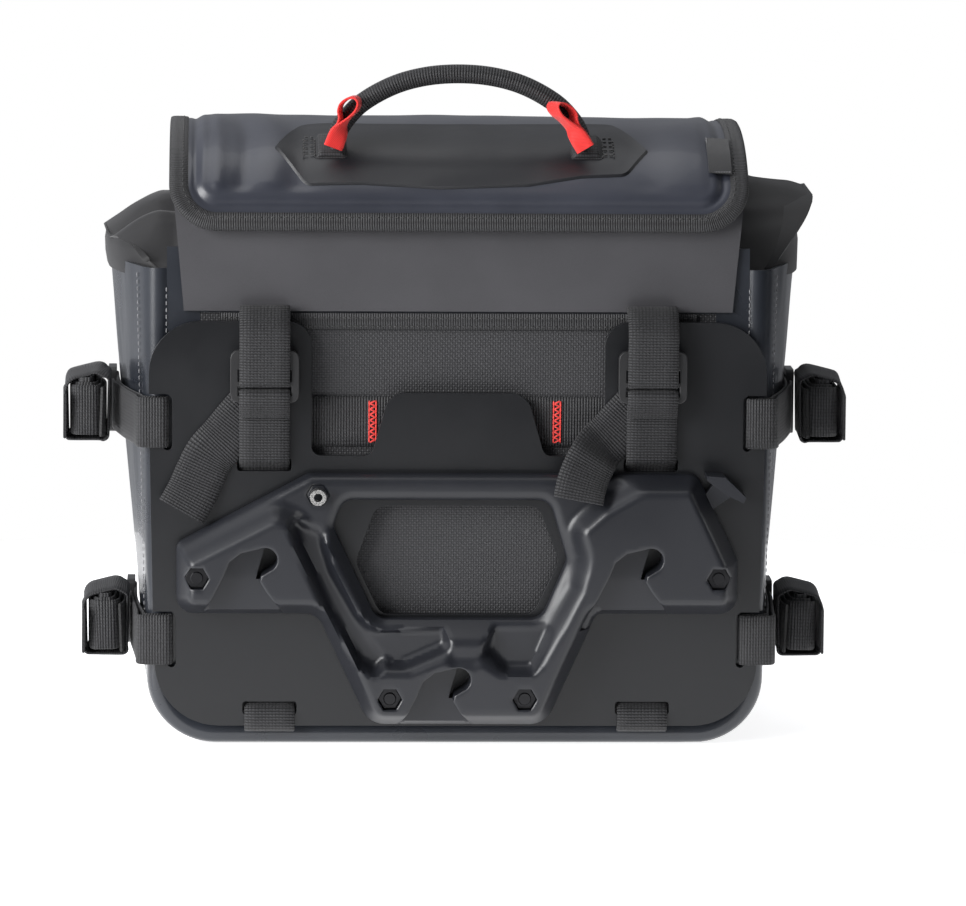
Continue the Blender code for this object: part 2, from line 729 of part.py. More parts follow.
def funnel_outline(spare=0.0):
    """The way into a pin seat, about the seat's middle: it opens downwards and to the left."""
    radius = SEAT_RADIUS + spare
    rim = arc((0, 0), radius, -65, 100, 7)
    left = [(-12, 3.4), (-17.7, -1.1), (-20.5, -8), (-26.2, -19.3), (-33, -32)]
    right = [(11, -32), (6.8, -24.2), (0.5, -16), (-2.6, -10.8), (-1.9, -8.2)]
    if spare:
        right = [(11, -32), (6.8, -24.2), (2.5, -14)]
    outline = [(x * MM + spare, z * MM) for x, z in right] + rim
    return outline + [(x * MM - spare, z * MM + spare) for x, z in left]


def throat_outline(open_seat):
    """The slot through the funnel's floor, about the seat's middle, for the tip of a carrier pin."""
    rim = arc((0, 0), SEAT_RADIUS, -65, 180 if open_seat else 90, 8)
    left = [(-6, -3), (-4.6, -10.8)] if open_seat else [(-3.5, -6.2), (-4.6, -10.8)]
    return [(-2.6 * MM, -10.8 * MM), (-1.9 * MM, -8.2 * MM), *rim] + [(x * MM, z * MM) for x, z in left]


def star(centre, reaches, steps=60):
    """An outline whose reach from the centre depends on the direction: (from, to, reach) in degrees."""
    outline = []
    for k in range(steps):
        angle = 360 * k / steps
        reach = max(r for low, high, r in reaches if low <= angle <= high or low <= angle - 360 <= high)
        outline.append((centre[0] + reach * math.cos(math.radians(angle)), centre[1] + reach * math.sin(math.radians(angle))))
    return outline


def bracket_outline():
    end = ARM_END
    return [
        (-end, ARM_BOTTOM + 35 * MM, 5 * MM),
        (-end, ARM_BOTTOM, 9 * MM),
        (-FOOT_HALF - 26 * MM, ARM_BOTTOM, 10 * MM),
        (-FOOT_HALF, FOOT_BOTTOM, 12 * MM),
        (FOOT_HALF + 1 * MM, FOOT_BOTTOM, 12 * MM),
        (FOOT_HALF + 26 * MM, ARM_BOTTOM, 4 * MM),
        (end, ARM_BOTTOM, 9 * MM),
        (end, ARM_BOTTOM + 27 * MM, 5 * MM),
        (end - 20.5 * MM, BRACKET_TOP, 7 * MM),
        (-end + 65.5 * MM, BRACKET_TOP, 7 * MM),
    ]


def bracket_window():
    corners = [
        (-57, 125.5, 8),
        (-62, 112, 8),
        (-40, 65.5, 8),
        (42, 65.5, 8),
        (54.5, 95, 8),
        (45.5, 125.5, 8),
    ]
    return [(x * MM, z * MM, r * MM) for x, z, r in corners]


def tapered_cutter(name, floor_outline, mouth_outline, floor, mouth):
    """A cutter with sloped sides. Both outlines have the same number of corners."""
    shape = bmesh.new()
    rings = []
    for outline, y in ((floor_outline, floor), (mouth_outline, mouth)):
        rings.append([shape.verts.new((x * MM, y, z * MM)) for x, z in outline])
    low, high = rings
    for k in range(len(low)):
        shape.faces.new((low[k - 1], low[k], high[k], high[k - 1]))
    shape.faces.new(low)
    shape.faces.new(high)
    bmesh.ops.recalc_face_normals(shape, faces=shape.faces)
    data = bpy.data.meshes.new(name)
    shape.to_mesh(data)
    shape.free()
    return finish(bpy.data.objects.new(name, data), None, CUTTERS)


def carrier_bracket():
    outlines = [rounded(bracket_outline(), 4), rounded(bracket_window(), 4)]
    body = flat_piece("carrier_bracket", outlines, "Y", BRACKET_FRONT, BRACKET_BACK, MOULDING)
    body = as_mesh(body)
    beyond = BRACKET_FRONT - 5 * MM
    band_floor = [(-38, 160), (80, 160), (76, 133), (52, 121), (40, 100), (-38, 100)]
    band_mouth = [(-50, 160), (112, 160), (100, 136), (64, 112), (40, 92), (-50, 92)]
    cut(body, tapered_cutter("band_cut", band_floor, band_mouth, BRACKET_FRONT + BAND_DEPTH, BRACKET_FRONT - 1 * MM))
    floor = BRACKET_FRONT + FUNNEL_DEPTH
    pockets = [moved(funnel_outline(), x, z) for x, z in seat_places()]
    cut(body, cutter("funnel_cut", pockets, "Y", beyond, floor))
    skin = BRACKET_FRONT + 3.5 * MM
    undercuts = [moved(funnel_outline(3 * MM), x, z) for x, z in seat_places()]
    cut(body, cutter("undercut", undercuts, "Y", skin, floor + 0.01 * MM))
    pockets = [hexagon(p, NUT_ACROSS + 2 * GAP) for p in bolt_places()]
    pockets.append(hexagon((INSERT_X, INSERT_Z), 2 * INSERT_RADIUS + 2 * MM))
    cut(body, cutter("hex_cut", pockets, "Y", beyond, BRACKET_FRONT + NUT_POCKET))
    through = [moved(throat_outline(x > 0.5 * SEAT_X), x, z) for x, z in seat_places()]
    through += [circle(p, BOLT_RADIUS + GAP, 16) for p in bolt_places()]
    through.append(circle((INSERT_X, INSERT_Z), 0.7 * INSERT_RADIUS, 16))
    cut(body, cutter("through_cut", through, "Y", beyond, BRACKET_BACK + 5 * MM))
    centre = (LEVER_X, LEVER_Z)
    reaches = [(0, 360, LEVER_HUB + 1 * MM), (-14, 66, 60 * MM), (140, 236, LEVER_REACH + 1 * MM)]
    cavity_top = BRACKET_BACK - CAVITY_DEPTH
    cut(body, cutter("lever_cavity", [star(centre, reaches)], "Y", cavity_top, BRACKET_BACK + 5 * MM))
    bore = circle(centre, PIN_RADIUS + GAP, 16)
    cut(body, cutter("pin_bore", [bore], "Y", cavity_top - 5 * MM, cavity_top + 1 * MM))


def fasteners():
    """Each bolt comes through the plate from the back and is kept with its nut as one piece."""
    head_start = BACK_Y - GAP
    top = BRACKET_FRONT + NUT_POCKET - GAP
    names = ("arm_left", "foot_left", "arm_right", "foot_right")
    for name, place in zip(names, bolt_places()):
        head = [circle(place, BOLT_HEAD_RADIUS)]
        bolt = flat_piece(f"plate_bolt_{name}", head, "Y", head_start - BOLT_HEAD_HEIGHT, head_start, DARK_STEEL)
        bolt = as_mesh(bolt)
        tip = top - NUT_HEIGHT - 1 * MM
        shank = [circle(place, BOLT_RADIUS, 16)]
        cut(bolt, cutter(f"shank_{name}", shank, "Y", tip, head_start - 1 * MM), "UNION")
        cut(bolt, cutter(f"nut_{name}", [hexagon(place, NUT_ACROSS)], "Y", top - NUT_HEIGHT, top), "UNION")
    place = (INSERT_X, INSERT_Z)
    outlines = [circle(place, INSERT_RADIUS), circle(place, 0.55 * INSERT_RADIUS, 12)]
    base = BRACKET_FRONT + NUT_POCKET - GAP
    flat_piece("threaded_insert", outlines, "Y", BRACKET_FRONT + 1 * MM, base, STEEL)


# ---------------------------------------------------------------- lock lever


def around_lever(angle, reach):
    turn = math.radians(angle)
    return (LEVER_X + reach * math.cos(turn), LEVER_Z + reach * math.sin(turn))


def lock_lever():
    back = BRACKET_BACK - GAP
    front = back - LEVER_THICK
    centre = (LEVER_X, LEVER_Z)
    hub = arc(centre, LEVER_HUB, 62, 182, 6)
    hook = [
        around_lever(186, 22 * MM),
        *arc(centre, LEVER_REACH, 190, 230, 5),
        *arc(centre, LEVER_REACH - 5.5 * MM, 230, 208, 3),
        around_lever(206, 15 * MM),
    ]
    foot = arc(centre, LEVER_HUB, 214, 386, 9)
    arm = [around_lever(33, 29 * MM), around_lever(55, 29 * MM)]
    outline = hub + hook + foot + arm
    bore = circle(centre, PIN_RADIUS + GAP, 24)
    body = as_mesh(flat_piece("lock_lever", [outline, bore], "Y", front, back, MOULDING))
    wing = [around_lever(a, r * MM) for a, r in ((66, 27), (68, 29), (53, 33), (28, 34.5), (25, 32), (38, 27.5))]
    tab = cutter("lever_tab", [wing], "Y", BRACKET_FRONT + 3 * MM, back)
    cut(body, tab, "UNION")
    pin_tip = BRACKET_BACK - CAVITY_DEPTH - 5 * MM + GAP
    flat_piece("lever_pin", [circle(centre, PIN_RADIUS, 24)], "Y", pin_tip, BRACKET_BACK - GAP, STEEL)


# ---------------------------------------------------------------- upright straps


def upright_straps():
    """Ladder-lock straps over the plate's ears, their sewn anchors, buckles and loose tails."""
    half = WEB_WIDTH / 2
    back_run = LAYER_OUT - WEB_THICK / 2
    tail_run = PLATE_FRONT - GAP - WEB_THICK / 2
    anchor_run = tail_run - WEB_THICK - 2 * GAP
    buckle_back = anchor_run - WEB_THICK / 2 - GAP
    buckle_front = buckle_back - BUCKLE_THICK
    over_run = buckle_front - GAP - WEB_THICK / 2
    bar_low = BUCKLE_TOP - BUCKLE_HEIGHT
    lower_slot_z = (bar_low + 3.5 * MM, bar_low + 8.2 * MM)
    upper_slot_z = (bar_low + 10.6 * MM, bar_low + 16.5 * MM)
    lift = 6.5 * MM
    over = smooth(
        [
            (back_run, PLATE_TOP - 20 * MM),
            (back_run, PLATE_TOP + 1 * MM),
            (back_run - 0.5 * MM, PLATE_TOP + lift - 2 * MM),
            ((back_run + tail_run) / 2, PLATE_TOP + lift + 0.7 * MM),
            (tail_run - 3 * MM, PLATE_TOP + lift - 2 * MM),
            (over_run, PLATE_TOP - 4 * MM),
            (over_run - 0.2 * MM, BUCKLE_TOP - 1 * MM),
            (over_run, upper_slot_z[1] - 0.5 * MM),
            (over_run + 2.2 * MM, upper_slot_z[0] + 2.6 * MM),
            (buckle_back - 1 * MM, upper_slot_z[0] + 1.6 * MM),
        ],
        3,
    )
    anchor = smooth(
        [
            (back_run, ANCHOR_SLOT_Z - 16 * MM),
            (back_run, ANCHOR_SLOT_Z - 4.8 * MM),
            (PLATE_BACK - GAP, ANCHOR_SLOT_Z - 2.7 * MM + WEB_THICK),
            (PLATE_FRONT + GAP, ANCHOR_SLOT_Z + 0.8 * MM),
            (anchor_run + 0.3 * MM, ANCHOR_SLOT_Z + 2.6 * MM),
            (anchor_run, ANCHOR_SLOT_Z + 6 * MM),
            (anchor_run, ANCHOR_SLOT_Z + 20 * MM),
            (anchor_run, bar_low + 2 * MM),
            (anchor_run - 0.6 * MM, lower_slot_z[0] + 1.6 * MM),
            (buckle_back - BUCKLE_THICK / 2, lower_slot_z[1] - 1.4 * MM),
            (over_run + 0.6 * MM, lower_slot_z[0] + 1.6 * MM),
            (over_run, bar_low + 1 * MM),
            (over_run + 1.6 * MM, bar_low - 3 * MM),
            (anchor_run - WEB_THICK - 2 * GAP, bar_low - 7.5 * MM),
        ],
        3,
    )
    left = [(-2, 0, 34), (-11, 0, 24), (-20, 0, 13), (-27, 0, 5), (-32, 0.8, -5), (-36, 2, -14), (-41, 3.4, -23)]
    right = [(-2, 0, 34), (-10, 0, 26), (-19, 0, 16), (-23.5, 0.8, 11.7), (-26.4, 4, 9), (-29, 8.6, 5.5)]
    right += [(-32, 11, 0.5), (-34.5, 14, -5), (-36, 16.6, -10), (-37, 18.4, -15)]
    for name, side, route in (("left", -1, left), ("right", 1, right)):
        x = side * STRAP_X
        flat_piece(f"upright_strap_{name}", [ribbon(over, WEB_THICK)], "X", x - half, x + half, WEBBING)
        flat_piece(f"buckle_anchor_{name}", [ribbon(anchor, WEB_THICK)], "X", x - half, x + half, WEBBING)
        outer = box_outline((x - BUCKLE_WIDTH / 2, bar_low), (x + BUCKLE_WIDTH / 2, BUCKLE_TOP), 4 * MM, 3)
        reach = half + 0.7 * MM
        slots = [box_outline((x - reach, low), (x + reach, high)) for low, high in (lower_slot_z, upper_slot_z)]
        flat_piece(f"ladder_buckle_{name}", [outer, *slots], "Y", buckle_front, buckle_back, BUCKLE_PLASTIC)
        tail(f"strap_tail_{name}", x, route, tail_run)
        loop_path = smooth(
            [
                (back_run, LOOP_SLOT_Z + 16 * MM),
                (back_run, LOOP_SLOT_Z + 4.6 * MM),
                (PLATE_BACK - GAP, LOOP_SLOT_Z + 1 * MM),
                (PLATE_FRONT + GAP, LOOP_SLOT_Z - 0.4 * MM),
                (tail_run, LOOP_SLOT_Z - 3.6 * MM),
                (tail_run, PLATE_BOTTOM),
                ((PLATE_BACK + PLATE_FRONT) / 2, PLATE_BOTTOM - 2.4 * MM),
                (back_run, PLATE_BOTTOM),
                (back_run, LOOP_SLOT_Z - 4 * MM),
            ],
            3,
        )
        x = side * LOOP_X
        flat_piece(f"lower_loop_{name}", [ribbon(loop_path, WEB_THICK)], "X", x - half, x + half, WEBBING)


def tail(name, x, route, run):
    """A loose strap end behind the buckle and its anchor, slanting down towards the bracket's edge."""
    wide = WEB_WIDTH / (25 * MM)  # a wider strap leaves its anchor further out
    middle = [(x + across * wide * MM, run - lift * MM, ANCHOR_SLOT_Z + up * MM) for across, lift, up in route]
    middle = smooth(middle, 3)

    def place(u, v):
        k = round(v * (len(middle) - 1))
        along = Vector(middle[min(k + 1, len(middle) - 1)]) - Vector(middle[max(k - 1, 0)])
        side = Vector((along.z, 0, -along.x)).normalized() * WEB_WIDTH * (0.5 - u)
        return Vector(middle[k]) + side

    sheet(name, 2, len(middle) - 1, place, WEB_THICK, WEBBING, 0)


# ---------------------------------------------------------------- side straps


def side_straps():
    for side_name, side in (("left", -1), ("right", 1)):
        for level_name, level in (("upper", UPPER_LEVEL), ("lower", LOWER_LEVEL)):
            side_strap(f"{level_name}_{side_name}", side, level)


def side_strap(name, side, level):
    """A strap round the plate's edge, its side buckle, its rolled-up end and the keeper round that."""
    edge = plate_half(level)
    slot_x = edge - SIDE_SLOT_INSET + HOOK_SLOT / 2
    back_run = LAYER_OUT - WEB_THICK / 2
    front_run = PLATE_FRONT - GAP - WEB_THICK / 2
    low, high = level - WEB_WIDTH / 2, level + WEB_WIDTH / 2

    roll_start = BACK_Y + 25 * MM
    roll_end = roll_start + ROLL_END_LENGTH

    def beside(y, layer=0):
        """Middle of a webbing layer on the side wall, clear of the wall at this level."""
        return side_wall(y, high) + 2 * GAP + WEB_THICK / 2 + layer * (WEB_THICK + 2 * GAP)

    inner = beside(roll_end, 2) + KEEPER_THICK + 2 * GAP - WEB_THICK / 2
    far, near = roll_end + 3 * MM, BACK_Y + 6 * MM
    path = [
        *((beside(y), y) for y in (far, roll_end - 20 * MM, roll_start, near)),
        (HALF_BACK + 1.6 * MM, BACK_Y - 0.6 * MM),
        (HALF_BACK - 2.2 * MM, back_run),
        (slot_x + 2 * MM, back_run),
        (slot_x, (PLATE_BACK + PLATE_FRONT) / 2),
        (slot_x + 2 * MM, front_run),
        (edge - 1 * MM, front_run),
        (HALF_BACK + 4.2 * MM, front_run + 2 * MM),
        (beside(near, 1) + 0.8 * MM, near),
        *((beside(y, 1), y) for y in (roll_start, roll_end - 20 * MM, roll_end - 6 * MM)),
    ]
    place = mirrored if side < 0 else list
    outline = place(ribbon(smooth(path, 3), WEB_THICK))
    strap = as_mesh(flat_piece(f"side_strap_{name}", [outline], "Z", low, high, WEBBING))
    roll = box_outline((inner, roll_start), (inner + ROLL_END_THICK, roll_end), 0.45 * ROLL_END_THICK)
    turn = box_outline((beside(roll_end, 1) - 0.9 * MM, roll_end - 6.5 * MM), (inner + 8 * MM, roll_end - 2.5 * MM))
    cut(strap, cutter(f"roll_{name}", [place(roll)], "Z", low, high), "UNION")
    cut(strap, cutter(f"turn_{name}", [place(turn)], "Z", low, high), "UNION")

    start = roll_end + 5 * MM
    end = start + SIDE_BUCKLE_LENGTH
    widest = max(side_wall(y, level + WEB_WIDTH) for y in (start, min(max(start, 0), end), end))
    base = widest + GAP
    half = WEB_WIDTH / 2 + 4 * MM
    frame = box_outline((start, level - half), (end, level + half), 3 * MM, 3)
    reach = WEB_WIDTH / 2 + 0.7 * MM
    middles = (start + share * SIDE_BUCKLE_LENGTH for share in (0.3, 0.7))
    slots = [box_outline((y - 2.6 * MM, level - reach), (y + 2.6 * MM, level + reach)) for y in middles]
    span = sorted((side * base, side * (base + SIDE_BUCKLE_THICK)))
    flat_piece(f"side_buckle_{name}", [frame, *slots], "X", *span, BUCKLE_PLASTIC)

    rings = []
    for grow in (GAP + KEEPER_THICK, GAP):
        x0, x1, radius = inner - grow, inner + ROLL_END_THICK + grow, grow
        top = high + KEEPER_RISE + grow
        arch = radius + 6 * MM
        rings.append(rounded([(x0, low - grow, radius), (x1, low - grow, radius), (x1, top, arch), (x0, top, arch)]))
    middle = (roll_start + roll_end) / 2 - 4 * MM
    keeper = [place(ring) for ring in rings]
    flat_piece(f"roll_keeper_{name}", keeper, "Y", middle - KEEPER_WIDTH / 2, middle + KEEPER_WIDTH / 2, WEBBING)


back_wall()
front_wall()
base_and_sides()
roll_top()
lid()
storm_panel()
back_trim()
handle()
handle_anchors()
adapter_plate()
carrier_bracket()
fasteners()
lock_lever()
upright_straps()
side_straps()
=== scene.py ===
"""Soft pannier bag on an adapter plate, with its webbing, buckles and carrier bracket.

The bag stands on its base, its mounting side faces -Y and +Z is up. Everything is in metres.
"""

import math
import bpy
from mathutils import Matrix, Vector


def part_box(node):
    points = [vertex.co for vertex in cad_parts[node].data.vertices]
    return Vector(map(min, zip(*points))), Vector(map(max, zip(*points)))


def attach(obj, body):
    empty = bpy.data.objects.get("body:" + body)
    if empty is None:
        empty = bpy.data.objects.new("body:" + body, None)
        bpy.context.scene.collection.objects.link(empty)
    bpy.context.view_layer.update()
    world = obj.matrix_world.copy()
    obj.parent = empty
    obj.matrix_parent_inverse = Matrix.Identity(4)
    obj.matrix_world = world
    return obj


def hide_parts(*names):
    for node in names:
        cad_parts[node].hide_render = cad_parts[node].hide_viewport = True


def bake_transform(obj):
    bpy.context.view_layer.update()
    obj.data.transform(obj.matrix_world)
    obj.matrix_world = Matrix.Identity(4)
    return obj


bl_info = {
    "name": "Pannier bag",
    "version": (1, 0, 0),
    "blender": (4, 5, 0),
    "location": "View3D > Sidebar > Pannier",
    "description": "Builds a roll-top pannier bag with its adapter plate, webbing and carrier bracket",
    "category": "Add Mesh",
}

import bmesh
import bpy
import numpy as np
from mathutils import Matrix, Vector, geometry, noise

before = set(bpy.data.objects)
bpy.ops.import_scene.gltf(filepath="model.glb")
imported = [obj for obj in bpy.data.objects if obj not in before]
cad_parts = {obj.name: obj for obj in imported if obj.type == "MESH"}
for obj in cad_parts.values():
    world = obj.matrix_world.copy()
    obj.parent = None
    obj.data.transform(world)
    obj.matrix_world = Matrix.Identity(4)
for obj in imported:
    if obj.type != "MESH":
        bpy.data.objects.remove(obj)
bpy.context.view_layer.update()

MM = 0.001
BACK_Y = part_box("back_panel")[0].y
FRONT_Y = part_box("front_panel")[1].y
HALF_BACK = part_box("back_panel")[1].x
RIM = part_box("back_panel")[1].z
PLATE_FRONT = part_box("adapter_plate")[0].y
PLATE_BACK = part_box("adapter_plate")[1].y
BRACKET_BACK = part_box("carrier_bracket")[1].y
GAP = 0.3 * MM
WEB = 1.5 * MM
LAYER_IN = BACK_Y - GAP
LAYER_OUT = LAYER_IN - WEB - GAP
BASE_RADIUS = 34 * MM


# ------------------------------------------------------------------ sizes and colours


def colour_setting(name, about, value):
    return bpy.props.FloatVectorProperty(
        name=name, description=about, default=value, subtype="COLOR", size=3, min=0.0, max=1.0
    )


def length_setting(name, about, value):
    return bpy.props.FloatProperty(
        name=name, description=about, default=value, unit="LENGTH", subtype="DISTANCE", precision=4, min=0.0
    )


class PannierFabric(bpy.types.PropertyGroup):
    """Colours and surface of the bag's fabrics"""

    shell_colour: colour_setting("Shell", "Coated fabric of the walls", (0.022, 0.025, 0.032))
    lid_colour: colour_setting("Lid", "Coated fabric of the lid", (0.031, 0.034, 0.047))
    matt_colour: colour_setting("Matt fabric", "Storm panel and collar", (0.050, 0.049, 0.054))
    weave_colour: colour_setting("Back weave", "Coarse weave of the back wall", (0.030, 0.030, 0.033))
    weave_pitch: length_setting("Weave pitch", "Distance between the yarns of the back wall", 1.25 * MM)
    wrinkle: length_setting("Wrinkles", "Depth of the folds in the side walls", 1.6 * MM)


class PannierWebbing(bpy.types.PropertyGroup):
    """Webbing, binding and pull tabs"""

    colour: colour_setting("Webbing", "Straps and handle", (0.0085, 0.0085, 0.0095))
    binding_colour: colour_setting("Binding", "Tape round the lid", (0.010, 0.010, 0.011))
    tab_colour: colour_setting("Pull tabs", "Red tape of the pull tabs and bartacks", (0.86, 0.030, 0.026))
    width: length_setting("Width", "Width of the straps", 25 * MM)
    rib: length_setting("Rib pitch", "Distance between the ribs of the webbing", 1.4 * MM)
    thickness: length_setting("Thickness", "Thickness of the straps", WEB)


class PannierHardware(bpy.types.PropertyGroup):
    """Plate, bracket, buckles and bolts"""

    plate_colour: colour_setting("Adapter plate", "Coating of the adapter plate", (0.0065, 0.007, 0.0085))
    bracket_colour: colour_setting("Bracket", "Moulding of the carrier bracket", (0.013, 0.014, 0.018))
    buckle_colour: colour_setting("Buckles", "Plastic of the buckles", (0.022, 0.022, 0.023))
    edge: length_setting("Edge radius", "Rounding of the plate's edges", 0.45 * MM)
    base_relief: length_setting("Bracket base", "Height of the bracket's thin parts", 9 * MM)


# ------------------------------------------------------------------ finishes


class Finish:
    """The node tree of one finish."""

    def __init__(self, name, colour, roughness, metallic=0.0, specular=0.5, sheen=0.0, coat=0.0):
        self.material = bpy.data.materials.new(name)
        self.material.use_nodes = True
        self.tree = self.material.node_tree
        self.shader = self.tree.nodes["Principled BSDF"]
        values = {
            "Base Color": (*colour, 1),
            "Roughness": roughness,
            "Metallic": metallic,
            "Specular IOR Level": specular,
            "Sheen Weight": sheen,
            "Coat Weight": coat,
        }
        for socket, value in values.items():
            self.shader.inputs[socket].default_value = value

    def node(self, kind, inputs=(), **settings):
        made = self.tree.nodes.new(kind)
        for key, value in settings.items():
            setattr(made, key, value)
        for key, value in dict(inputs).items():
            if isinstance(value, bpy.types.NodeSocket):
                self.tree.links.new(value, made.inputs[key])
            else:
                made.inputs[key].default_value = value
        return made

    def maths(self, operation, *values):
        return self.node("ShaderNodeMath", enumerate(values), operation=operation).outputs[0]

    def place(self):
        """Position in the object's own space, in metres."""
        return self.node("ShaderNodeTexCoord").outputs["Object"]

    def tape(self):
        """Distance across and along a strap, in metres."""
        return self.axes(self.node("ShaderNodeTexCoord").outputs["UV"])

    def axes(self, vector):
        return self.node("ShaderNodeSeparateXYZ", {0: vector}).outputs

    def stretched(self, vector, scale):
        return self.node("ShaderNodeMapping", {"Vector": vector, "Scale": scale}).outputs[0]

    def speckle(self, vector, scale, detail=2.0, roughness=0.5):
        inputs = {"Vector": vector, "Scale": scale, "Detail": detail, "Roughness": roughness}
        return self.node("ShaderNodeTexNoise", inputs).outputs["Fac"]

    def between(self, value, low, high, to_low=0.0, to_high=1.0):
        inputs = {"Value": value, "From Min": low, "From Max": high, "To Min": to_low, "To Max": to_high}
        return self.node("ShaderNodeMapRange", inputs).outputs[0]

    def blended(self, share, first, second):
        made = self.node("ShaderNodeMix", data_type="RGBA")
        for socket, value in ((made.inputs[0], share), (made.inputs[6], first), (made.inputs[7], second)):
            if isinstance(value, bpy.types.NodeSocket):
                self.tree.links.new(value, socket)
            else:
                socket.default_value = value if socket.type == "VALUE" else (*value, 1)
        return made.outputs[2]

    def bump(self, height, distance, strength=1.0, under=None):
        inputs = {"Height": height, "Distance": distance, "Strength": strength}
        if under:
            inputs["Normal"] = under
        return self.node("ShaderNodeBump", inputs).outputs[0]

    def wire(self, **sockets):
        for key, value in sockets.items():
            self.tree.links.new(value, self.shader.inputs[key.replace("_", " ").title()])
        return self.material


def shaded(colour, share):
    return tuple(min(c * share, 1.0) for c in colour)


def coated_fabric(name, colour, roughness, coat=0.0, grain=1.0):
    """Welded coated fabric: slightly uneven, with a fine grain and softly varied gloss."""
    finish = Finish(name, colour, roughness, specular=0.55, coat=coat)
    place = finish.place()
    fine = finish.speckle(place, 1500, 2)
    cloudy = finish.speckle(place, 55, 3)
    worn = finish.speckle(place, 17, 4, 0.6)
    rough = finish.between(worn, 0.3, 0.7, roughness - 0.06, roughness + 0.07)
    tone = finish.blended(finish.between(worn, 0.35, 0.7), shaded(colour, 0.88), shaded(colour, 1.16))
    normal = finish.bump(cloudy, 0.5 * MM, 0.35)
    normal = finish.bump(fine, 0.05 * MM * grain, 0.8, normal)
    return finish.wire(base_color=tone, roughness=rough, normal=normal)


def matt_fabric(name, colour):
    """Matt coated polyester with a very fine grain."""
    finish = Finish(name, colour, 0.62, specular=0.45, sheen=0.12)
    place = finish.place()
    grain = finish.speckle(place, 2600, 3, 0.7)
    cloudy = finish.speckle(place, 30, 3)
    tone = finish.blended(finish.between(cloudy, 0.35, 0.7), shaded(colour, 0.9), shaded(colour, 1.12))
    tone = finish.blended(finish.between(grain, 0.35, 0.65, 0.0, 0.5), tone, shaded(colour, 1.35))
    normal = finish.bump(cloudy, 0.6 * MM, 0.3)
    normal = finish.bump(grain, 0.06 * MM, 0.8, normal)
    return finish.wire(base_color=tone, normal=normal)


def coarse_weave(name, colour, pitch):
    """Plain weave of thick yarns across X and Z."""
    finish = Finish(name, colour, 0.6, specular=0.5, sheen=0.1)
    axes = finish.axes(finish.place())
    waves = [finish.maths("SINE", finish.maths("MULTIPLY", axes[k], math.pi / pitch)) for k in (0, 2)]
    over = finish.maths("MULTIPLY", waves[0], waves[1])
    crown = finish.maths("ABSOLUTE", over)
    tilt = finish.between(over, -1, 1, 0.35, 1.0)
    height = finish.maths("MULTIPLY", finish.maths("POWER", crown, 0.6), tilt)
    cloudy = finish.speckle(finish.place(), 24, 3)
    # The yarn crowns are painted lighter and the gaps between the yarns darker: painted highlight and painted
    # shade over the weave.
    tone = finish.blended(height, shaded(colour, 0.3), shaded(colour, 2.1))
    tone = finish.blended(finish.between(cloudy, 0.3, 0.75, 0.0, 0.35), tone, shaded(colour, 0.7))
    return finish.wire(base_color=tone, normal=finish.bump(height, 0.32 * MM, 0.9))


def ribbed_webbing(name, colour, rib, column, crown_highlight=1.0, depth=0.34 * MM):
    """Woven webbing with ribs across it. Its maps run across and along the tape."""
    finish = Finish(name, colour, 0.58, specular=0.45, sheen=0.08)
    across, along = finish.tape()[0], finish.tape()[1]
    columns = finish.maths("DIVIDE", across, column)
    phase = finish.maths("DIVIDE", along, rib)
    yarn = finish.maths("ABSOLUTE", finish.maths("SINE", finish.maths("MULTIPLY", phase, math.pi)))
    row = finish.maths("ABSOLUTE", finish.maths("SINE", finish.maths("MULTIPLY", columns, math.pi)))
    height = finish.maths("MULTIPLY", finish.between(row, 0, 1, 0.55, 1.0), finish.maths("POWER", yarn, 1.1))
    fuzz = finish.speckle(finish.place(), 900, 3)
    height = finish.maths("ADD", height, finish.between(fuzz, 0.3, 0.7, -0.12, 0.12))
    # The rib crowns are painted lighter and the grooves between the ribs darker: painted highlight and
    # painted shade.
    tone = finish.blended(
        finish.between(height, 0.15, 0.95), shaded(colour, 0.15), shaded(colour, 1.3 + 2.2 * crown_highlight)
    )
    dusty = finish.between(finish.speckle(finish.place(), 40, 4, 0.6), 0.55, 0.85, 0.0, 0.4)
    tone = finish.blended(dusty, tone, shaded(colour, 2.6))
    return finish.wire(base_color=tone, normal=finish.bump(height, depth, 0.9))


def plain_tape(name, colour):
    """Narrow woven tape with a fine twill across it."""
    finish = Finish(name, colour, 0.55, specular=0.35, sheen=0.2)
    across, along = finish.tape()[0], finish.tape()[1]
    rise, run = finish.maths("DIVIDE", across, 1.6 * MM), finish.maths("DIVIDE", along, 0.8 * MM)
    slant = finish.maths("ADD", rise, run)
    twill = finish.maths("ABSOLUTE", finish.maths("SINE", finish.maths("MULTIPLY", slant, math.pi)))
    tone = finish.blended(twill, shaded(colour, 0.72), shaded(colour, 1.05))
    return finish.wire(base_color=tone, normal=finish.bump(twill, 0.16 * MM, 0.8))


def moulded_plastic(name, colour, roughness, grain=0.05 * MM, scale=1300):
    """Moulded or powder-coated surface with a fine grain, a little lighter where it is rubbed."""
    finish = Finish(name, colour, roughness, specular=0.5)
    place = finish.place()
    fine = finish.speckle(place, scale, 2, 0.6)
    cloudy = finish.speckle(place, 14, 4, 0.6)
    rough = finish.between(cloudy, 0.3, 0.7, roughness - 0.05, roughness + 0.06)
    tone = finish.blended(finish.between(cloudy, 0.3, 0.75), shaded(colour, 0.9), shaded(colour, 1.15))
    scuffs = finish.speckle(finish.stretched(place, (60, 200, 420)), 1, 5, 0.75)
    tone = finish.blended(finish.between(scuffs, 0.66, 0.82, 0.0, 0.35), tone, shaded(colour, 2.4))
    return finish.wire(base_color=tone, roughness=rough, normal=finish.bump(fine, grain, 0.7))


def turned_metal(name, colour, roughness):
    finish = Finish(name, colour, roughness, metallic=1.0)
    fine = finish.speckle(finish.stretched(finish.place(), (900, 250, 900)), 1, 3)
    rough = finish.between(fine, 0.3, 0.7, roughness - 0.06, roughness + 0.1)
    tone = finish.blended(fine, shaded(colour, 0.85), shaded(colour, 1.1))
    return finish.wire(base_color=tone, roughness=rough, normal=finish.bump(fine, 0.02 * MM, 0.6))


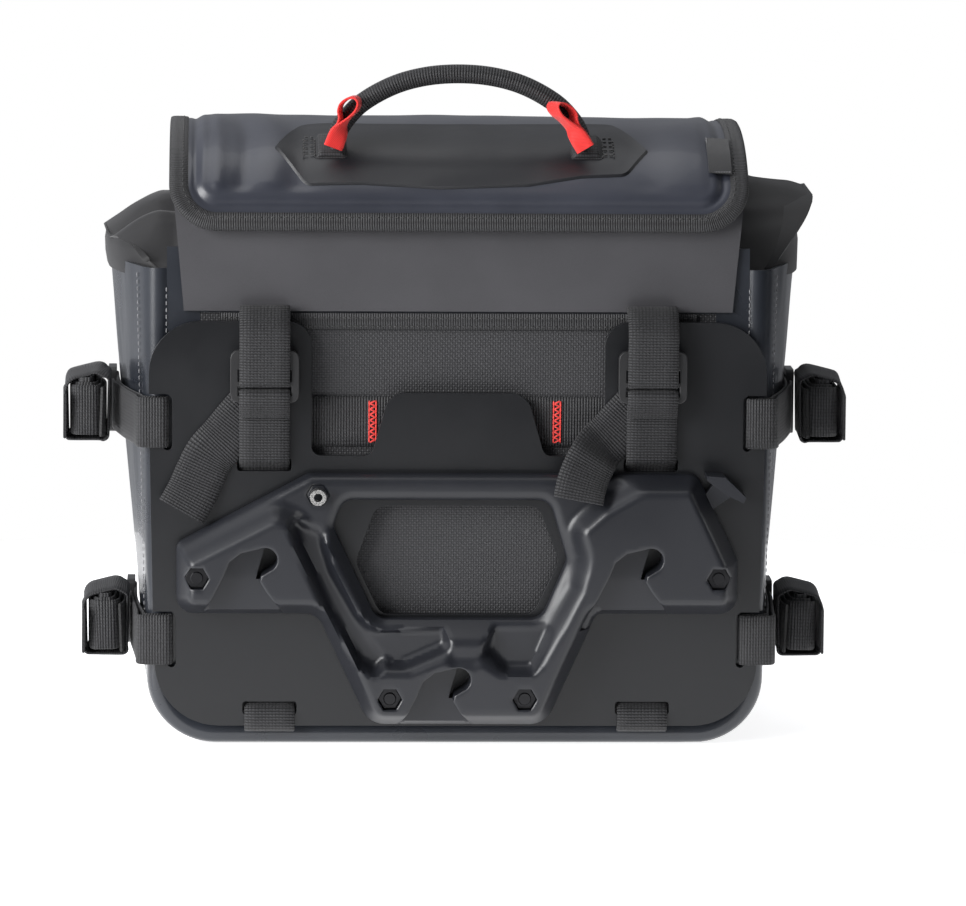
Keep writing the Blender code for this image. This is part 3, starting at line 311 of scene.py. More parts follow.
def sewing_thread(name, colour):
    finish = Finish(name, colour, 0.5, sheen=0.2)
    twist = finish.speckle(finish.place(), 3000, 2)
    tone = finish.blended(twist, shaded(colour, 0.7), shaded(colour, 1.2))
    return finish.wire(base_color=tone, normal=finish.bump(twist, 0.05 * MM, 0.7))


MADE = {}


def finishes():
    """Every finish of the bag, made once from the settings."""
    if MADE:
        return MADE
    scene = bpy.context.scene
    fabric, webbing, hardware = scene.pannier_fabric, scene.pannier_webbing, scene.pannier_hardware
    MADE.update(
        shell=coated_fabric("Coated shell fabric", fabric.shell_colour, 0.30, coat=0.25),
        lid=coated_fabric("Coated lid fabric", fabric.lid_colour, 0.40, coat=0.10, grain=0.7),
        patch=coated_fabric("Welded patch", shaded(fabric.lid_colour, 0.22), 0.44, grain=0.8),
        matt=matt_fabric("Matt storm fabric", fabric.matt_colour),
        # The collar is the matt fabric darkened to about a quarter: painted shade where it lies under the
        # lid.
        collar=matt_fabric("Matt collar fabric in painted shade", shaded(fabric.matt_colour, 0.24)),
        weave=coarse_weave("Coarse back weave", fabric.weave_colour, fabric.weave_pitch),
        webbing=ribbed_webbing("Ribbed webbing", webbing.colour, webbing.rib, 1.7 * MM, depth=0.42 * MM),
        keeper=ribbed_webbing("Keeper tape", webbing.colour, 1.0 * MM, 1.3 * MM, 1.3, 0.2 * MM),
        binding=ribbed_webbing("Binding tape", webbing.binding_colour, 1.2 * MM, 4.5 * MM, 1.0, 0.3 * MM),
        hooks=ribbed_webbing("Hook and loop tape", shaded(webbing.colour, 0.8), 0.6 * MM, 0.6 * MM, 0.5),
        red=plain_tape("Red tape", webbing.tab_colour),
        label=plain_tape("Woven label", (0.018, 0.018, 0.020)),
        plate=moulded_plastic("Plate coating", hardware.plate_colour, 0.37),
        bracket=moulded_plastic("Bracket moulding", hardware.bracket_colour, 0.35, 0.03 * MM),
        buckle=moulded_plastic("Buckle plastic", hardware.buckle_colour, 0.38),
        board=moulded_plastic("Stiffening board", (0.02, 0.02, 0.02), 0.6),
        silver=turned_metal("Bright steel", (0.74, 0.73, 0.71), 0.26),
        black_steel=turned_metal("Blackened steel", (0.035, 0.035, 0.037), 0.36),
        thread=sewing_thread("Pale thread", (0.22, 0.22, 0.23)),
        dark_thread=sewing_thread("Black thread", (0.02, 0.02, 0.02)),
        red_thread=sewing_thread("Red thread", (0.85, 0.05, 0.04)),
    )
    return MADE


# ------------------------------------------------------------------ shapes in the plane


def rounded(corners, steps=6):
    """A closed outline with its corners rounded. Each corner is (x, y, radius)."""
    outline = []
    for k, (x, y, radius) in enumerate(corners):
        here = Vector((x, y))
        if radius <= 0:
            outline.append((x, y))
            continue
        before = (Vector(corners[k - 1][:2]) - here).normalized()
        after = (Vector(corners[(k + 1) % len(corners)][:2]) - here).normalized()
        half = before.angle(after) / 2
        centre = here + (before + after).normalized() * (radius / math.sin(half))
        start = here + before * (radius / math.tan(half)) - centre
        end = here + after * (radius / math.tan(half)) - centre
        turn = math.atan2(start.x * end.y - start.y * end.x, start.dot(end))
        for n in range(steps + 1):
            angle = turn * n / steps
            outline.append(
                (
                    centre.x + start.x * math.cos(angle) - start.y * math.sin(angle),
                    centre.y + start.x * math.sin(angle) + start.y * math.cos(angle),
                )
            )
    return outline


def softened(corners, radius, steps=5):
    return rounded([(x, y, radius) for x, y in corners], steps)


def arc(centre, radius, start, end, steps):
    angles = (math.radians(start + (end - start) * k / steps) for k in range(steps + 1))
    return [(centre[0] + radius * math.cos(a), centre[1] + radius * math.sin(a)) for a in angles]


def hexagon(centre, across):
    return arc(centre, across / math.sqrt(3), 0, 300, 5)


def moved(outline, x, y):
    return [(px + x, py + y) for px, py in outline]


def divided(loop, step):
    """The closed loop with points no further apart than step."""
    points = []
    for a, b in zip(loop, [*loop[1:], loop[0]]):
        count = max(1, math.ceil(math.dist(a, b) / step))
        points += [(a[0] + (b[0] - a[0]) * k / count, a[1] + (b[1] - a[1]) * k / count) for k in range(count)]
    return points


def inside(points, loop):
    """Which points lie inside a closed loop."""
    found = np.zeros(len(points), bool)
    x, y = points[:, 0], points[:, 1]
    for (ax, ay), (bx, by) in zip(loop, [*loop[1:], loop[0]]):
        crosses = (ay > y) != (by > y)
        with np.errstate(divide="ignore", invalid="ignore"):
            at = ax + (y - ay) * (bx - ax) / (by - ay)
        found ^= crosses & (x < at)
    return found


def reach_to(points, loop, closed=True):
    """How far each point is from the line of a loop."""
    best = np.full(len(points), np.inf)
    ends = [*loop[1:], loop[0]] if closed else loop[1:]
    for a, b in zip(loop, ends):
        a, b = np.array(a), np.array(b)
        run = b - a
        share = np.clip((points - a) @ run / max(run @ run, 1e-18), 0, 1)
        best = np.minimum(best, np.linalg.norm(points - a - share[:, None] * run, axis=1))
    return best


def depth_in(points, loop):
    """Distance inside a loop, negative outside it."""
    return np.where(inside(points, loop), 1, -1) * reach_to(points, loop)


def eased(share):
    share = np.clip(share, 0, 1)
    return share * share * (3 - 2 * share)


def filled(outline, holes, step, rings=(0.35 * MM, 0.9 * MM)):
    """Triangles that fill an outline without its holes, with extra points beside each edge."""
    loops = [divided(loop, step) for loop in (outline, *holes)]
    low, high = np.min(outline, axis=0), np.max(outline, axis=0)
    xs, ys = (np.arange(low[k] + step / 2, high[k], step) for k in (0, 1))
    grid = np.array([(x + (row % 2) * step / 2, y) for row, y in enumerate(ys) for x in xs])
    extra = []
    for loop in loops:
        for k, (x, y) in enumerate(loop):
            ahead, behind = loop[(k + 1) % len(loop)], loop[k - 1]
            side = Vector((ahead[1] - behind[1], behind[0] - ahead[0])).normalized()
            extra += [(x + side.x * r, y + side.y * r) for ring in rings for r in (ring, -ring)]
    extra = np.array(extra)
    near = np.min([reach_to(grid, loop) for loop in loops], axis=0)
    grid = grid[near > step * 0.75]
    near = np.min([reach_to(extra, loop) for loop in loops], axis=0)
    extra = extra[near > rings[0] * 0.8]
    corners, edges = [], []
    for loop in loops:
        start = len(corners)
        corners += [Vector(p) for p in loop]
        edges += [(start + k, start + (k + 1) % len(loop)) for k in range(len(loop))]
    corners += [Vector(p) for p in (*extra, *grid)]
    points, _, faces, *_ = geometry.delaunay_2d_cdt(corners, edges, [], 0, 1e-7)
    return np.array([tuple(p) for p in points]), np.array(faces)


def filled_panel(outline, step, rings):
    """Triangles that fill an outline without holes."""
    points, faces = filled(outline, [], step, rings)
    return points, faces[inside(points[faces].mean(axis=1), outline)]


def distances(path):
    """How far along a path each of its points lies."""
    return np.concatenate([[0], np.cumsum(np.linalg.norm(np.diff(path, axis=0), axis=1))])


def directions(path):
    """The unit direction of a path at each of its points."""
    along = np.gradient(path, axis=0)
    return along / np.linalg.norm(along, axis=1)[:, None]


# ------------------------------------------------------------------ pieces


def piece(
    name, points, faces, finish, body="bag", stands_for=(), slot=None, maps=None, crease=35, closed=False
):
    """A mesh object with its finish, its body and the nodes it stands for. Its slot argument is not used."""
    data = bpy.data.meshes.new(name)
    data.from_pydata([tuple(p) for p in points], [], [tuple(int(k) for k in face) for face in faces])
    if maps is not None:
        layer = data.uv_layers.new(name="tape")
        corners = np.array([loop.vertex_index for loop in data.loops])
        layer.data.foreach_set("uv", np.array(maps, float)[corners].ravel())
    if closed:
        shape = bmesh.new()
        shape.from_mesh(data)
        bmesh.ops.remove_doubles(shape, verts=shape.verts, dist=1e-6)
        bmesh.ops.recalc_face_normals(shape, faces=shape.faces)
        shape.to_mesh(data)
        shape.free()
    data.polygons.foreach_set("use_smooth", [True] * len(data.polygons))
    data.set_sharp_from_angle(angle=math.radians(crease))
    data.materials.append(finish)
    obj = bpy.data.objects.new(name, data)
    bpy.context.scene.collection.objects.link(obj)
    if body:
        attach(obj, body)
    if stands_for:
        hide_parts(*stands_for)
    return obj


def lattice_faces(rows, columns, wrap=False):
    faces = []
    for r in range(rows - 1):
        for c in range(columns if wrap else columns - 1):
            n = (c + 1) % columns
            faces.append((r * columns + c, r * columns + n, (r + 1) * columns + n, (r + 1) * columns + c))
    return faces


def tube_faces(rows, columns):
    """Faces of a tube with both ends capped."""
    last = (rows - 1) * columns
    ends = [tuple(range(columns))[::-1], tuple(range(last, last + columns))]
    return lattice_faces(rows, columns, wrap=True) + ends


def closed_skin(faces, size):
    """Faces of a solid between a layer of triangles and its copy, whose points come after the first size."""
    skin = [tuple(face) for face in faces] + [tuple(size + k for k in face[::-1]) for face in faces]
    sides = {(a, b): True for face in faces for a, b in zip(face, np.roll(face, -1))}
    return skin + [(b, a, size + a, size + b) for a, b in sides if (b, a) not in sides]


def lattice_normals(grid, wrap=False):
    if wrap:
        across = np.roll(grid, -1, axis=1) - np.roll(grid, 1, axis=1)
    else:
        across = np.gradient(grid, axis=1)
    along = np.gradient(grid, axis=0)
    normal = np.cross(across, along)
    return normal / np.maximum(np.linalg.norm(normal, axis=2, keepdims=True), 1e-12)


def sheet_piece(name, rows, thickness, finish, middle, wrap=False, maps=None, **more):
    """Cloth of even thickness from rows of points of its outer face. Middle is a point on its inner side."""
    outer = np.array([[tuple(p) for p in row] for row in rows], float)
    normal = lattice_normals(outer, wrap)
    facing = ((outer - np.array(middle)) * normal).sum(axis=2)
    if facing.sum() < 0:
        normal = -normal
    inner = outer - normal * thickness
    count, across = outer.shape[:2]
    top = lattice_faces(count, across, wrap)
    size = count * across
    faces = top + [tuple(size + k for k in reversed(face)) for face in top]
    border = [[r * across + c for c in range(across)] for r in (0, count - 1)]
    for line in border:
        pairs = list(zip(line, line[1:])) + ([(line[-1], line[0])] if wrap else [])
        faces += [(a, b, size + b, size + a) for a, b in pairs]
    if not wrap:
        for c in (0, across - 1):
            line = [r * across + c for r in range(count)]
            faces += [(a, b, size + b, size + a) for a, b in zip(line, line[1:])]
    points = np.concatenate([outer.reshape(-1, 3), inner.reshape(-1, 3)])
    both = None if maps is None else np.concatenate([np.array(maps, float).reshape(-1, 2)] * 2)
    return piece(name, points, faces, finish, maps=both, closed=True, **more)


def smooth_path(points, step=1.5 * MM):
    """A smooth path through the points, with even steps."""
    ends = [points[0], *points, points[-1]]
    fine = []
    for k in range(1, len(ends) - 2):
        a, b, c, d = (np.array(p, float) for p in ends[k - 1 : k + 3])
        for n in range(12):
            t = n / 12
            at = 2 * b + (c - a) * t + (2 * a - 5 * b + 4 * c - d) * t**2 + (3 * b - a - 3 * c + d) * t**3
            fine.append(0.5 * at)
    fine.append(np.array(points[-1], float))
    fine = np.array(fine)
    run = distances(fine)
    at = np.linspace(0, run[-1], max(3, round(run[-1] / step) + 1))
    return np.stack([np.interp(at, run, fine[:, k]) for k in range(fine.shape[1])], axis=1)


def band_profile(width, thickness):
    """Cross-section of a woven band as (across, lift) with soft edges."""
    half, lift = width / 2, thickness / 2
    face = [-half + lift * 0.7, -half * 0.5, 0, half * 0.5, half - lift * 0.7]
    profile = [(a, lift) for a in face] + [(half, 0.35 * lift), (half, -0.35 * lift)]
    return profile + [(a, -lift) for a in reversed(face)] + [(-half, -0.35 * lift), (-half, 0.35 * lift)]


def band(name, path, across, width, thickness, finish, **more):
    """Webbing that follows a path. Across is the direction of its width, for all points or for each."""
    path = np.array(path, float)
    across = np.broadcast_to(np.array(across, float), path.shape)
    along = directions(path)
    side = across - (across * along).sum(axis=1)[:, None] * along
    side /= np.linalg.norm(side, axis=1)[:, None]
    lift = np.cross(side, along)
    profile = np.array(band_profile(width, thickness))
    grid = path[:, None] + profile[None, :, :1] * side[:, None] + profile[None, :, 1:] * lift[:, None]
    maps = np.stack(np.broadcast_arrays(profile[None, :, 0], distances(path)[:, None]), axis=2)
    faces = tube_faces(len(path), len(profile))
    return piece(name, grid.reshape(-1, 3), faces, finish, maps=maps.reshape(-1, 2), crease=50, **more)


def stitches(name, lines, finish, length=2.4 * MM, pitch=3.4 * MM, thick=0.45 * MM, **more):
    """Rows of single stitches. Each line is a list of points and the direction that faces out."""
    points, faces = [], []
    for line, out in lines:
        line = np.array(line, float)
        run = distances(line)
        count = max(1, int(run[-1] / pitch))
        for k in range(count):
            ends = [(k + 0.5) * run[-1] / count + s * length / 2 for s in (-1, 1)]
            ends = [Vector([np.interp(e, run, line[:, a]) for a in range(3)]) for e in ends]
            along = (ends[1] - ends[0]).normalized()
            outward = Vector(out)
            side = along.cross(outward).normalized()
            start = len(points)
            for share, size in ((0, 0.45), (0.2, 1), (0.8, 1), (1, 0.45)):
                at = ends[0].lerp(ends[1], share) - outward * (thick * 0.6 * (1 - size))
                for angle in range(0, 360, 60):
                    turn = math.radians(angle)
                    around = side * math.cos(turn) + outward * math.sin(turn) * 0.8
                    points.append(at + around * thick * size)
            for ring in range(3):
                for c in range(6):
                    a, b = start + ring * 6 + c, start + ring * 6 + (c + 1) % 6
                    faces.append((a, b, b + 6, a + 6))
            faces += [tuple(range(start + 5, start - 1, -1)), tuple(range(start + 18, start + 24))]
    return piece(name, points, faces, finish, crease=80, **more)


def softened_copy(name, node, finish, width, body, segments=2, angle=30):
    """A CAD node's shape with rounded edges."""
    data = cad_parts[node].data.copy()
    data.materials.clear()
    shape = bmesh.new()
    shape.from_mesh(data)
    bmesh.ops.remove_doubles(shape, verts=shape.verts, dist=2e-6)
    bmesh.ops.dissolve_limit(shape, angle_limit=math.radians(1), verts=shape.verts, edges=shape.edges)
    shape.to_mesh(data)
    shape.free()
    obj = bpy.data.objects.new(name, data)
    bpy.context.scene.collection.objects.link(obj)
    bevel = obj.modifiers.new("edges", "BEVEL")
    bevel.width, bevel.segments, bevel.limit_method = width, segments, "ANGLE"
    bevel.angle_limit = math.radians(angle)
    even = obj.modifiers.new("shading", "WEIGHTED_NORMAL")
    even.keep_sharp = True
    obj.data.polygons.foreach_set("use_smooth", [True] * len(obj.data.polygons))
    apply_modifiers(obj)
    data = obj.data
    data.materials.clear()
    data.materials.append(finish)
    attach(obj, body)
    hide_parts(node)
    return obj


def apply_modifiers(obj):
    graph = bpy.context.evaluated_depsgraph_get()
    made = bpy.data.meshes.new_from_object(obj.evaluated_get(graph))
    obj.modifiers.clear()
    obj.data = made


def ripple(*place):
    """A smooth number from -1 to 1 that varies over space."""
    return noise.noise(Vector((*place, 0.0)[:3]))


# ------------------------------------------------------------------ bag walls

RIM_BULGE, FOOT_BULGE = 22 * MM, 3 * MM


def swell(y, z):
    """How far a side wall stands out from its edges."""
    share = min(max((z - BASE_RADIUS) / (RIM - BASE_RADIUS), 0), 1)
    return (FOOT_BULGE + (RIM_BULGE - FOOT_BULGE) * share) * (1 - (y / FRONT_Y) ** 2)


def wall_route():
    """Down the left side, along the base and up the right: (x, z, outward x, outward z)."""
    route = [(-HALF_BACK, z, -1.0, 0.0) for z in np.linspace(RIM - 13 * MM, BASE_RADIUS, 46)]
    inner = HALF_BACK - BASE_RADIUS
    for k in range(1, 16):
        turn = math.radians(180 + 90 * k / 16)
        out = (math.cos(turn), math.sin(turn))
        route.append((-inner + BASE_RADIUS * out[0], BASE_RADIUS * (1 + out[1]), *out))
    route += [(x, 0.0, 0.0, -1.0) for x in np.linspace(-inner, inner, 31)[:-1]]
    return route + [(-x, z, -ox, oz) for x, z, ox, oz in reversed(route[:61])]


def build_walls():
    made, wrinkle = finishes(), bpy.context.scene.pannier_fabric.wrinkle
    edge = [(-11, -86.4), (-9.4, -86.9), (-8, -87.5), (-6.4, -88.0), (-4.8, -88.1)]
    edge += [(-3.2, -87.8), (-1.9, -87), (-1, -85.8), (-0.4, -84.2)]
    far = [(n, -y - 0.6) for n, y in reversed(edge)]
    depths = [(0, y) for y in np.linspace(-82, 82, 42)]
    rows = []
    for x, z, out_x, out_z in wall_route():
        row = []
        for n, y in (*edge, *depths, *far):
            y_here = y * MM
            flat = max(1 - (abs(y) / 84) ** 6, 0) if n == 0 else 0
            lean = abs(out_x) ** 1.5
            out = swell(y_here, z) * lean + n * MM
            folds = 0.5 + 0.5 * ripple(y * 0.045 + 0.6 * math.copysign(1, x), z * 9, 3.0)
            folds += 0.35 * ripple(y * 0.12, z * 16, 9.0)
            out -= wrinkle * flat * lean * max(folds, 0) * 1.2
            row.append((x + out_x * out, y_here, z + out_z * out if out_z > -0.999 else max(z - n * MM, 0)))
        rows.append(row)
    stands_for = ("side_panel_left", "side_panel_right", "base_panel")
    walls = sheet_piece(
        "bag_walls", rows, 1.6 * MM, made["shell"], (0, 0, 130 * MM), stands_for=stands_for, slot="tarpaulin"
    )
    build_back(made)
    build_front(made)
    build_seams(made)


def wall_outline(half, height, radius):
    return rounded([(-half, height, 0), (-half, 0, radius), (half, 0, radius), (half, height, 0)], 10)


def build_back(made):
    """Back wall: coated fabric at the edges and a coarse weave in the middle."""
    half = HALF_BACK - 9.6 * MM
    outline = [(x, z + 9.6 * MM) for x, z in wall_outline(half, RIM - 12 * MM, BASE_RADIUS - 9 * MM)]
    points, faces = filled_panel(outline, 9 * MM, (1 * MM, 3 * MM))
    solid, skin = slab(points, faces, np.full(len(points), BACK_Y), BACK_Y + 2 * MM)
    piece("bag_back", solid, skin, made["shell"], stands_for=["back_panel"], slot="back_fabric", closed=True)
    low, high, wide = 14 * MM, 217 * MM, 128 * MM
    rows = []
    for z in np.linspace(low, high, 60):
        row = []
        for x in np.linspace(-wide, wide, 60):
            rim = min(wide - abs(x), z - low, high - z)
            crown = 0.28 * MM * float(eased(rim / (12 * MM)))
            row.append((x, BACK_Y - 0.02 * MM - crown * (0.7 + 0.3 * ripple(x * 30, z * 30)), z))
        rows.append(row)
    panel = sheet_piece("back_weave", rows, 0.25 * MM, made["weave"], (0, 0, 0.1), slot="back_fabric")


def slab(points, faces, heights, floor):
    """A closed solid from triangles in X and Z: its face at the heights along Y and its back at floor."""
    front = np.stack([points[:, 0], heights, points[:, 1]], axis=1)
    back = np.stack([points[:, 0], np.full(len(points), floor), points[:, 1]], axis=1)
    return np.concatenate([front, back]), closed_skin(faces, len(points))


def build_front(made):
    """Front wall and the moulded shell on it."""
    outline = wall_outline(HALF_BACK - 1 * MM, RIM - 12 * MM, BASE_RADIUS)
    half = 144 * MM
    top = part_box("front_panel")[1].z
    outline += [(half + 4 * MM, RIM - 2 * MM), (half, top), (-half, top), (-half - 4 * MM, RIM - 2 * MM)]
    points, faces = filled_panel(outline, 8 * MM, (1.2 * MM, 3.5 * MM))
    rim = reach_to(points, outline)
    heights = FRONT_Y - 3.2 * MM * (1 - eased(rim / (6 * MM))) + 0.2 * MM
    solid, skin = slab(points, faces, heights, FRONT_Y - 5 * MM)
    piece("bag_front", solid, skin, made["shell"], stands_for=["front_panel"], slot="tarpaulin", closed=True)
    build_moulded_front(made)


def build_moulded_front(made):
    """The stiff shell pressed into the front wall, with its two ribs and its line of stitches."""
    low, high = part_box("front_shell")
    corners = [(low.x, low.z), (high.x, low.z), (high.x, high.z), (low.x, high.z)]
    outline = softened(corners, 26 * MM, 10)
    points, faces = filled_panel(outline, 3.4 * MM, (0.6 * MM, 1.6 * MM))
    rim = reach_to(points, outline)
    depth = high.y - low.y
    height = depth * (0.42 + 0.22 * eased(rim / (3 * MM)) + 0.36 * eased((rim - 13 * MM) / (9 * MM)))
    ribs = np.abs(np.abs(points[:, 0]) - 42 * MM)
    height -= 1.2 * MM * eased(1 - ribs / (4 * MM)) * eased((rim - 22 * MM) / (10 * MM))
    solid, skin = slab(points, faces, low.y + height, low.y)
    piece(
        "moulded_front", solid, skin, made["shell"], stands_for=["front_shell"], slot="tarpaulin", closed=True
    )
    middle = 126 * MM
    seam = softened([(x * 0.955, middle + (z - middle) * 0.94) for x, z in corners], 22 * MM, 8)
    line = [(x, low.y + 0.66 * depth, z) for x, z in seam]
    stitches("front_stitches", [([*line, line[0]], (0, 1, 0))], made["thread"], slot="tarpaulin")


def build_seams(made):
    """Rows of stitches beside the edges of the back wall."""
    lines = []
    for side in (-1, 1):
        x = side * (HALF_BACK - 9.4 * MM)
        lines.append(([(x, BACK_Y - 0.3 * MM, z) for z in (36 * MM, 230 * MM)], (0, -1, 0)))
        y = BACK_Y + 12 * MM
        run = []
        for z in np.linspace(40 * MM, 236 * MM, 40):
            run.append((side * (HALF_BACK + swell(y, z) + 0.1 * MM), y, z))
        lines.append((run, (side, 0, 0)))
    stitches("wall_stitches", lines, made["thread"], 2.2 * MM, 3.4 * MM, 0.33 * MM, slot="tarpaulin")


# ------------------------------------------------------------------ roll-top collar


def along_profile(profile, y):
    ys, zs = zip(*profile)
    return float(np.interp(y, ys, zs))


# Height of the collar's shoulders over Y, in millimetres: beside the lid, and at their outer ends
LEFT_FOLDS = [(-87, 250), (-83, 248.5), (-73, 236), (-66, 240), (-54, 258), (-47, 262.5), (-41, 262)]
LEFT_FOLDS += [(-33, 250), (-28, 251), (-14, 266), (-4, 269), (8, 268), (40, 261), (87, 255)]
LEFT_END = [(-87, 249.5), (-74, 246), (-56, 247), (-46, 250), (-33, 249), (-20, 252), (0, 252)]
LEFT_END += [(40, 249), (87, 248)]
RIGHT_FOLDS = [(-87, 250), (-83, 248), (-73, 232), (-64, 235), (-34, 264), (-12, 276), (8, 279)]
RIGHT_FOLDS += [(40, 268), (87, 256)]
RIGHT_END = [(-87, 244.5), (-76, 242), (-60, 250), (-34, 266), (-10, 274), (20, 272), (50, 258), (87, 248)]
SKIRT = 17.5


def collar_top(x, y):
    """Height of the gathered collar: a ridge under the lid and folded shoulders beyond it."""
    ridge = RIM + 3 * MM + 27 * MM * (1 - min(abs(y) / FRONT_Y, 1) ** 1.3)
    folds, end = (LEFT_FOLDS, LEFT_END) if x < 0 else (RIGHT_FOLDS, RIGHT_END)
    folded = along_profile(folds, y * 1000) * MM
    outer = along_profile(end, y * 1000) * MM
    reach = HALF_BACK + swell(y, RIM)
    beyond = min(max((abs(x) - 148 * MM) / max(reach - 148 * MM, 1 * MM), 0), 1)
    shoulder = folded + (outer - folded) * beyond**1.4
    inner = float(eased((abs(x) - 118 * MM) / (24 * MM)))
    under = ridge - 3 * MM * float(eased((abs(y) - 70 * MM) / (14 * MM)))
    return under * (1 - inner) + shoulder * inner


def collar_ring(share):
    """A point of the collar's rim, and the point of its ridge that it gathers to."""
    angle = 2 * math.pi * share
    c, s = math.cos(angle), math.sin(angle)
    x = HALF_BACK * math.copysign(min(abs(c) ** 0.35, 1), c)
    y = (FRONT_Y - 0.4 * MM) * math.copysign(abs(s) ** 0.35, s)
    x += math.copysign(swell(y, RIM) * float(eased((abs(x) / HALF_BACK - 0.8) / 0.2)), x)
    return Vector((x, y)), Vector((min(max(x, -132 * MM), 132 * MM), 0))


def wing(x, y):
    """How far the stuffed collar stands out past the wall: more on the right."""
    if abs(x) < HALF_BACK:
        return 0.0
    return 7.5 * MM * math.exp(-(((y + 28 * MM) / (34 * MM)) ** 2)) if x > 0 else 1.5 * MM


def build_collar():
    """Gathered collar: a skirt inside the walls, then folds that run in to its ridge."""
    made = finishes()
    count = 280
    rings = [(0.0, drop) for drop in (-SKIRT, -12, -6, -3, -1)]
    rings += [(r, 0) for r in (0.004, 0.015, *np.linspace(0.035, 1, 40))]
    rows = []
    for r, drop in rings:
        row = []
        for k in range(count):
            edge, spine = collar_ring(k / count)
            at = edge.lerp(spine, r)
            top = collar_top(at.x, at.y)
            out = (edge - spine).normalized() * 1.1 * MM * (1 if drop < -2 else 0.6)
            if drop:
                foot = 233 * MM if abs(at.x) > 138 * MM or at.y > 0 else 236 * MM
                z = top + (foot - top) * (-drop / SKIRT)
                sag = 0.6 * MM * ripple(at.x * 40, at.y * 40, 2.0)
                edge_share = float(eased((abs(at.x) / HALF_BACK - 0.8) / 0.2))
                back_in = (swell(at.y, RIM) - swell(at.y, z)) * edge_share
                spread_out = wing(at.x, at.y) * (1 + drop / SKIRT)
                at = at + out
                at.x -= math.copysign(back_in - spread_out, at.x)
                if abs(at.x) < 142.6 * MM and at.y < 0:
                    at.y = max(at.y, BACK_Y + 0.5 * MM)
                elif abs(at.x) < 142.6 * MM:
                    at.y = min(at.y, FRONT_Y - 6.5 * MM)
                elif at.y < BACK_Y + 4 * MM:
                    at.y = BACK_Y - 2.2 * MM
                row.append((at.x, at.y, z + sag))
            else:
                crease = 1.3 * MM * ripple(at.x * 55, at.y * 28, 7.0)
                crease += 1.4 * MM * ripple(at.x * 22, at.y * 85, 3.0)
                crease *= float(eased(r * 5))
                at.x += math.copysign(wing(edge.x, edge.y) * max(1 - 2.5 * r, 0), at.x)
                row.append((at.x, at.y, top + crease))
        rows.append(row)
    collar = sheet_piece(
        "gathered_collar", rows, 1.0 * MM, made["collar"], (0, 0, 100 * MM), wrap=True,
        stands_for=["roll_collar"], slot="tarpaulin", crease=50,
    )
    build_rolled_top(made)


def build_rolled_top(made):
    """The closure rolled up under the lid."""
    low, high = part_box("roll_bundle")
    middle, tall = (low + high) / 2, (high.z - low.z) / 2
    wide = (high.y - low.y) / 2
    path = []
    for k in range(150):
        turn = k / 149 * 2 * math.pi * 3.25
        share = 0.25 + 0.75 * k / 149
        lump = 1 + 0.03 * math.sin(3 * turn)
        rise = (tall - 0.8 * MM) * share * math.sin(turn)
        path.append((0, wide * share * math.cos(turn) * lump, middle.z + rise))
    rows = []
    for x in np.linspace(low.x, high.x, 40):
        sag = 0.8 * MM * ripple(x * 18, 4.0, 1.0)
        rows.append([(x, y + sag, z + 0.4 * sag) for _, y, z in path])
    roll = sheet_piece(
        "rolled_closure", rows, 0.9 * MM, made["matt"], (0, middle.y, middle.z),
        stands_for=["roll_bundle"], slot="tarpaulin",
    )


# ------------------------------------------------------------------ lid

LID_HALF, LID_CORNER, BINDING = 143.4 * MM, 24 * MM, 9 * MM
LID_START = 2.3 * MM
LID_FRONT, LID_TOP, LID_EDGE = Vector((88, 268)) * MM, 306 * MM, Vector((-95.5, 256)) * MM
HANDLE_ROOT, HANDLE_FREE = (0, -73 * MM, 298.5 * MM), (0, -73 * MM, 312 * MM)


def bezier(points, count):
    t = np.linspace(0, 1, count)[:, None]
    a, b, c, d = (np.array(p, float) for p in points)
    return a * (1 - t) ** 3 + 3 * b * t * (1 - t) ** 2 + 3 * c * t**2 * (1 - t) + d * t**3


REAR = bezier([LID_EDGE, (-0.097, 0.290), (-0.060, LID_TOP), (-0.010, LID_TOP)], 160)
FORE = bezier([(-0.010, LID_TOP), (0.035, LID_TOP), (0.070, 0.2946), LID_FRONT], 160)
SECTION = np.concatenate([REAR[:-1], FORE])
REACH, SLOPE = distances(SECTION), directions(SECTION)
LID_LENGTH = float(REACH[-1])


def on_lid(x, s, lift=0.0):
    """A point over the lid at x and at the distance s from its free edge."""
    s = min(max(s, 0.0), LID_LENGTH)
    y, z, run_y, run_z = (float(np.interp(s, REACH, column)) for column in (*SECTION.T, *SLOPE.T))
    size = math.hypot(run_y, run_z)
    return Vector((x, y - run_z / size * lift, z + run_y / size * lift))


def out_of_lid(s):
    return (on_lid(0, s, 1 * MM) - on_lid(0, s)).normalized()


def lid_half(s, inset):
    radius = LID_CORNER - inset
    short = max(radius - (s - LID_START - inset), 0)
    return LID_HALF - inset - radius + math.sqrt(max(radius**2 - short**2, 0))


def lid_rim(x, s, inset):
    """Distance inside the lid's outline, set in from its edge."""
    radius = LID_CORNER - inset
    s -= LID_START
    dx, ds = abs(x) - (LID_HALF - inset - radius), inset + radius - s
    if dx > 0 and ds > 0:
        return radius - math.hypot(dx, ds)
    return min(LID_HALF - inset - abs(x), s - inset)


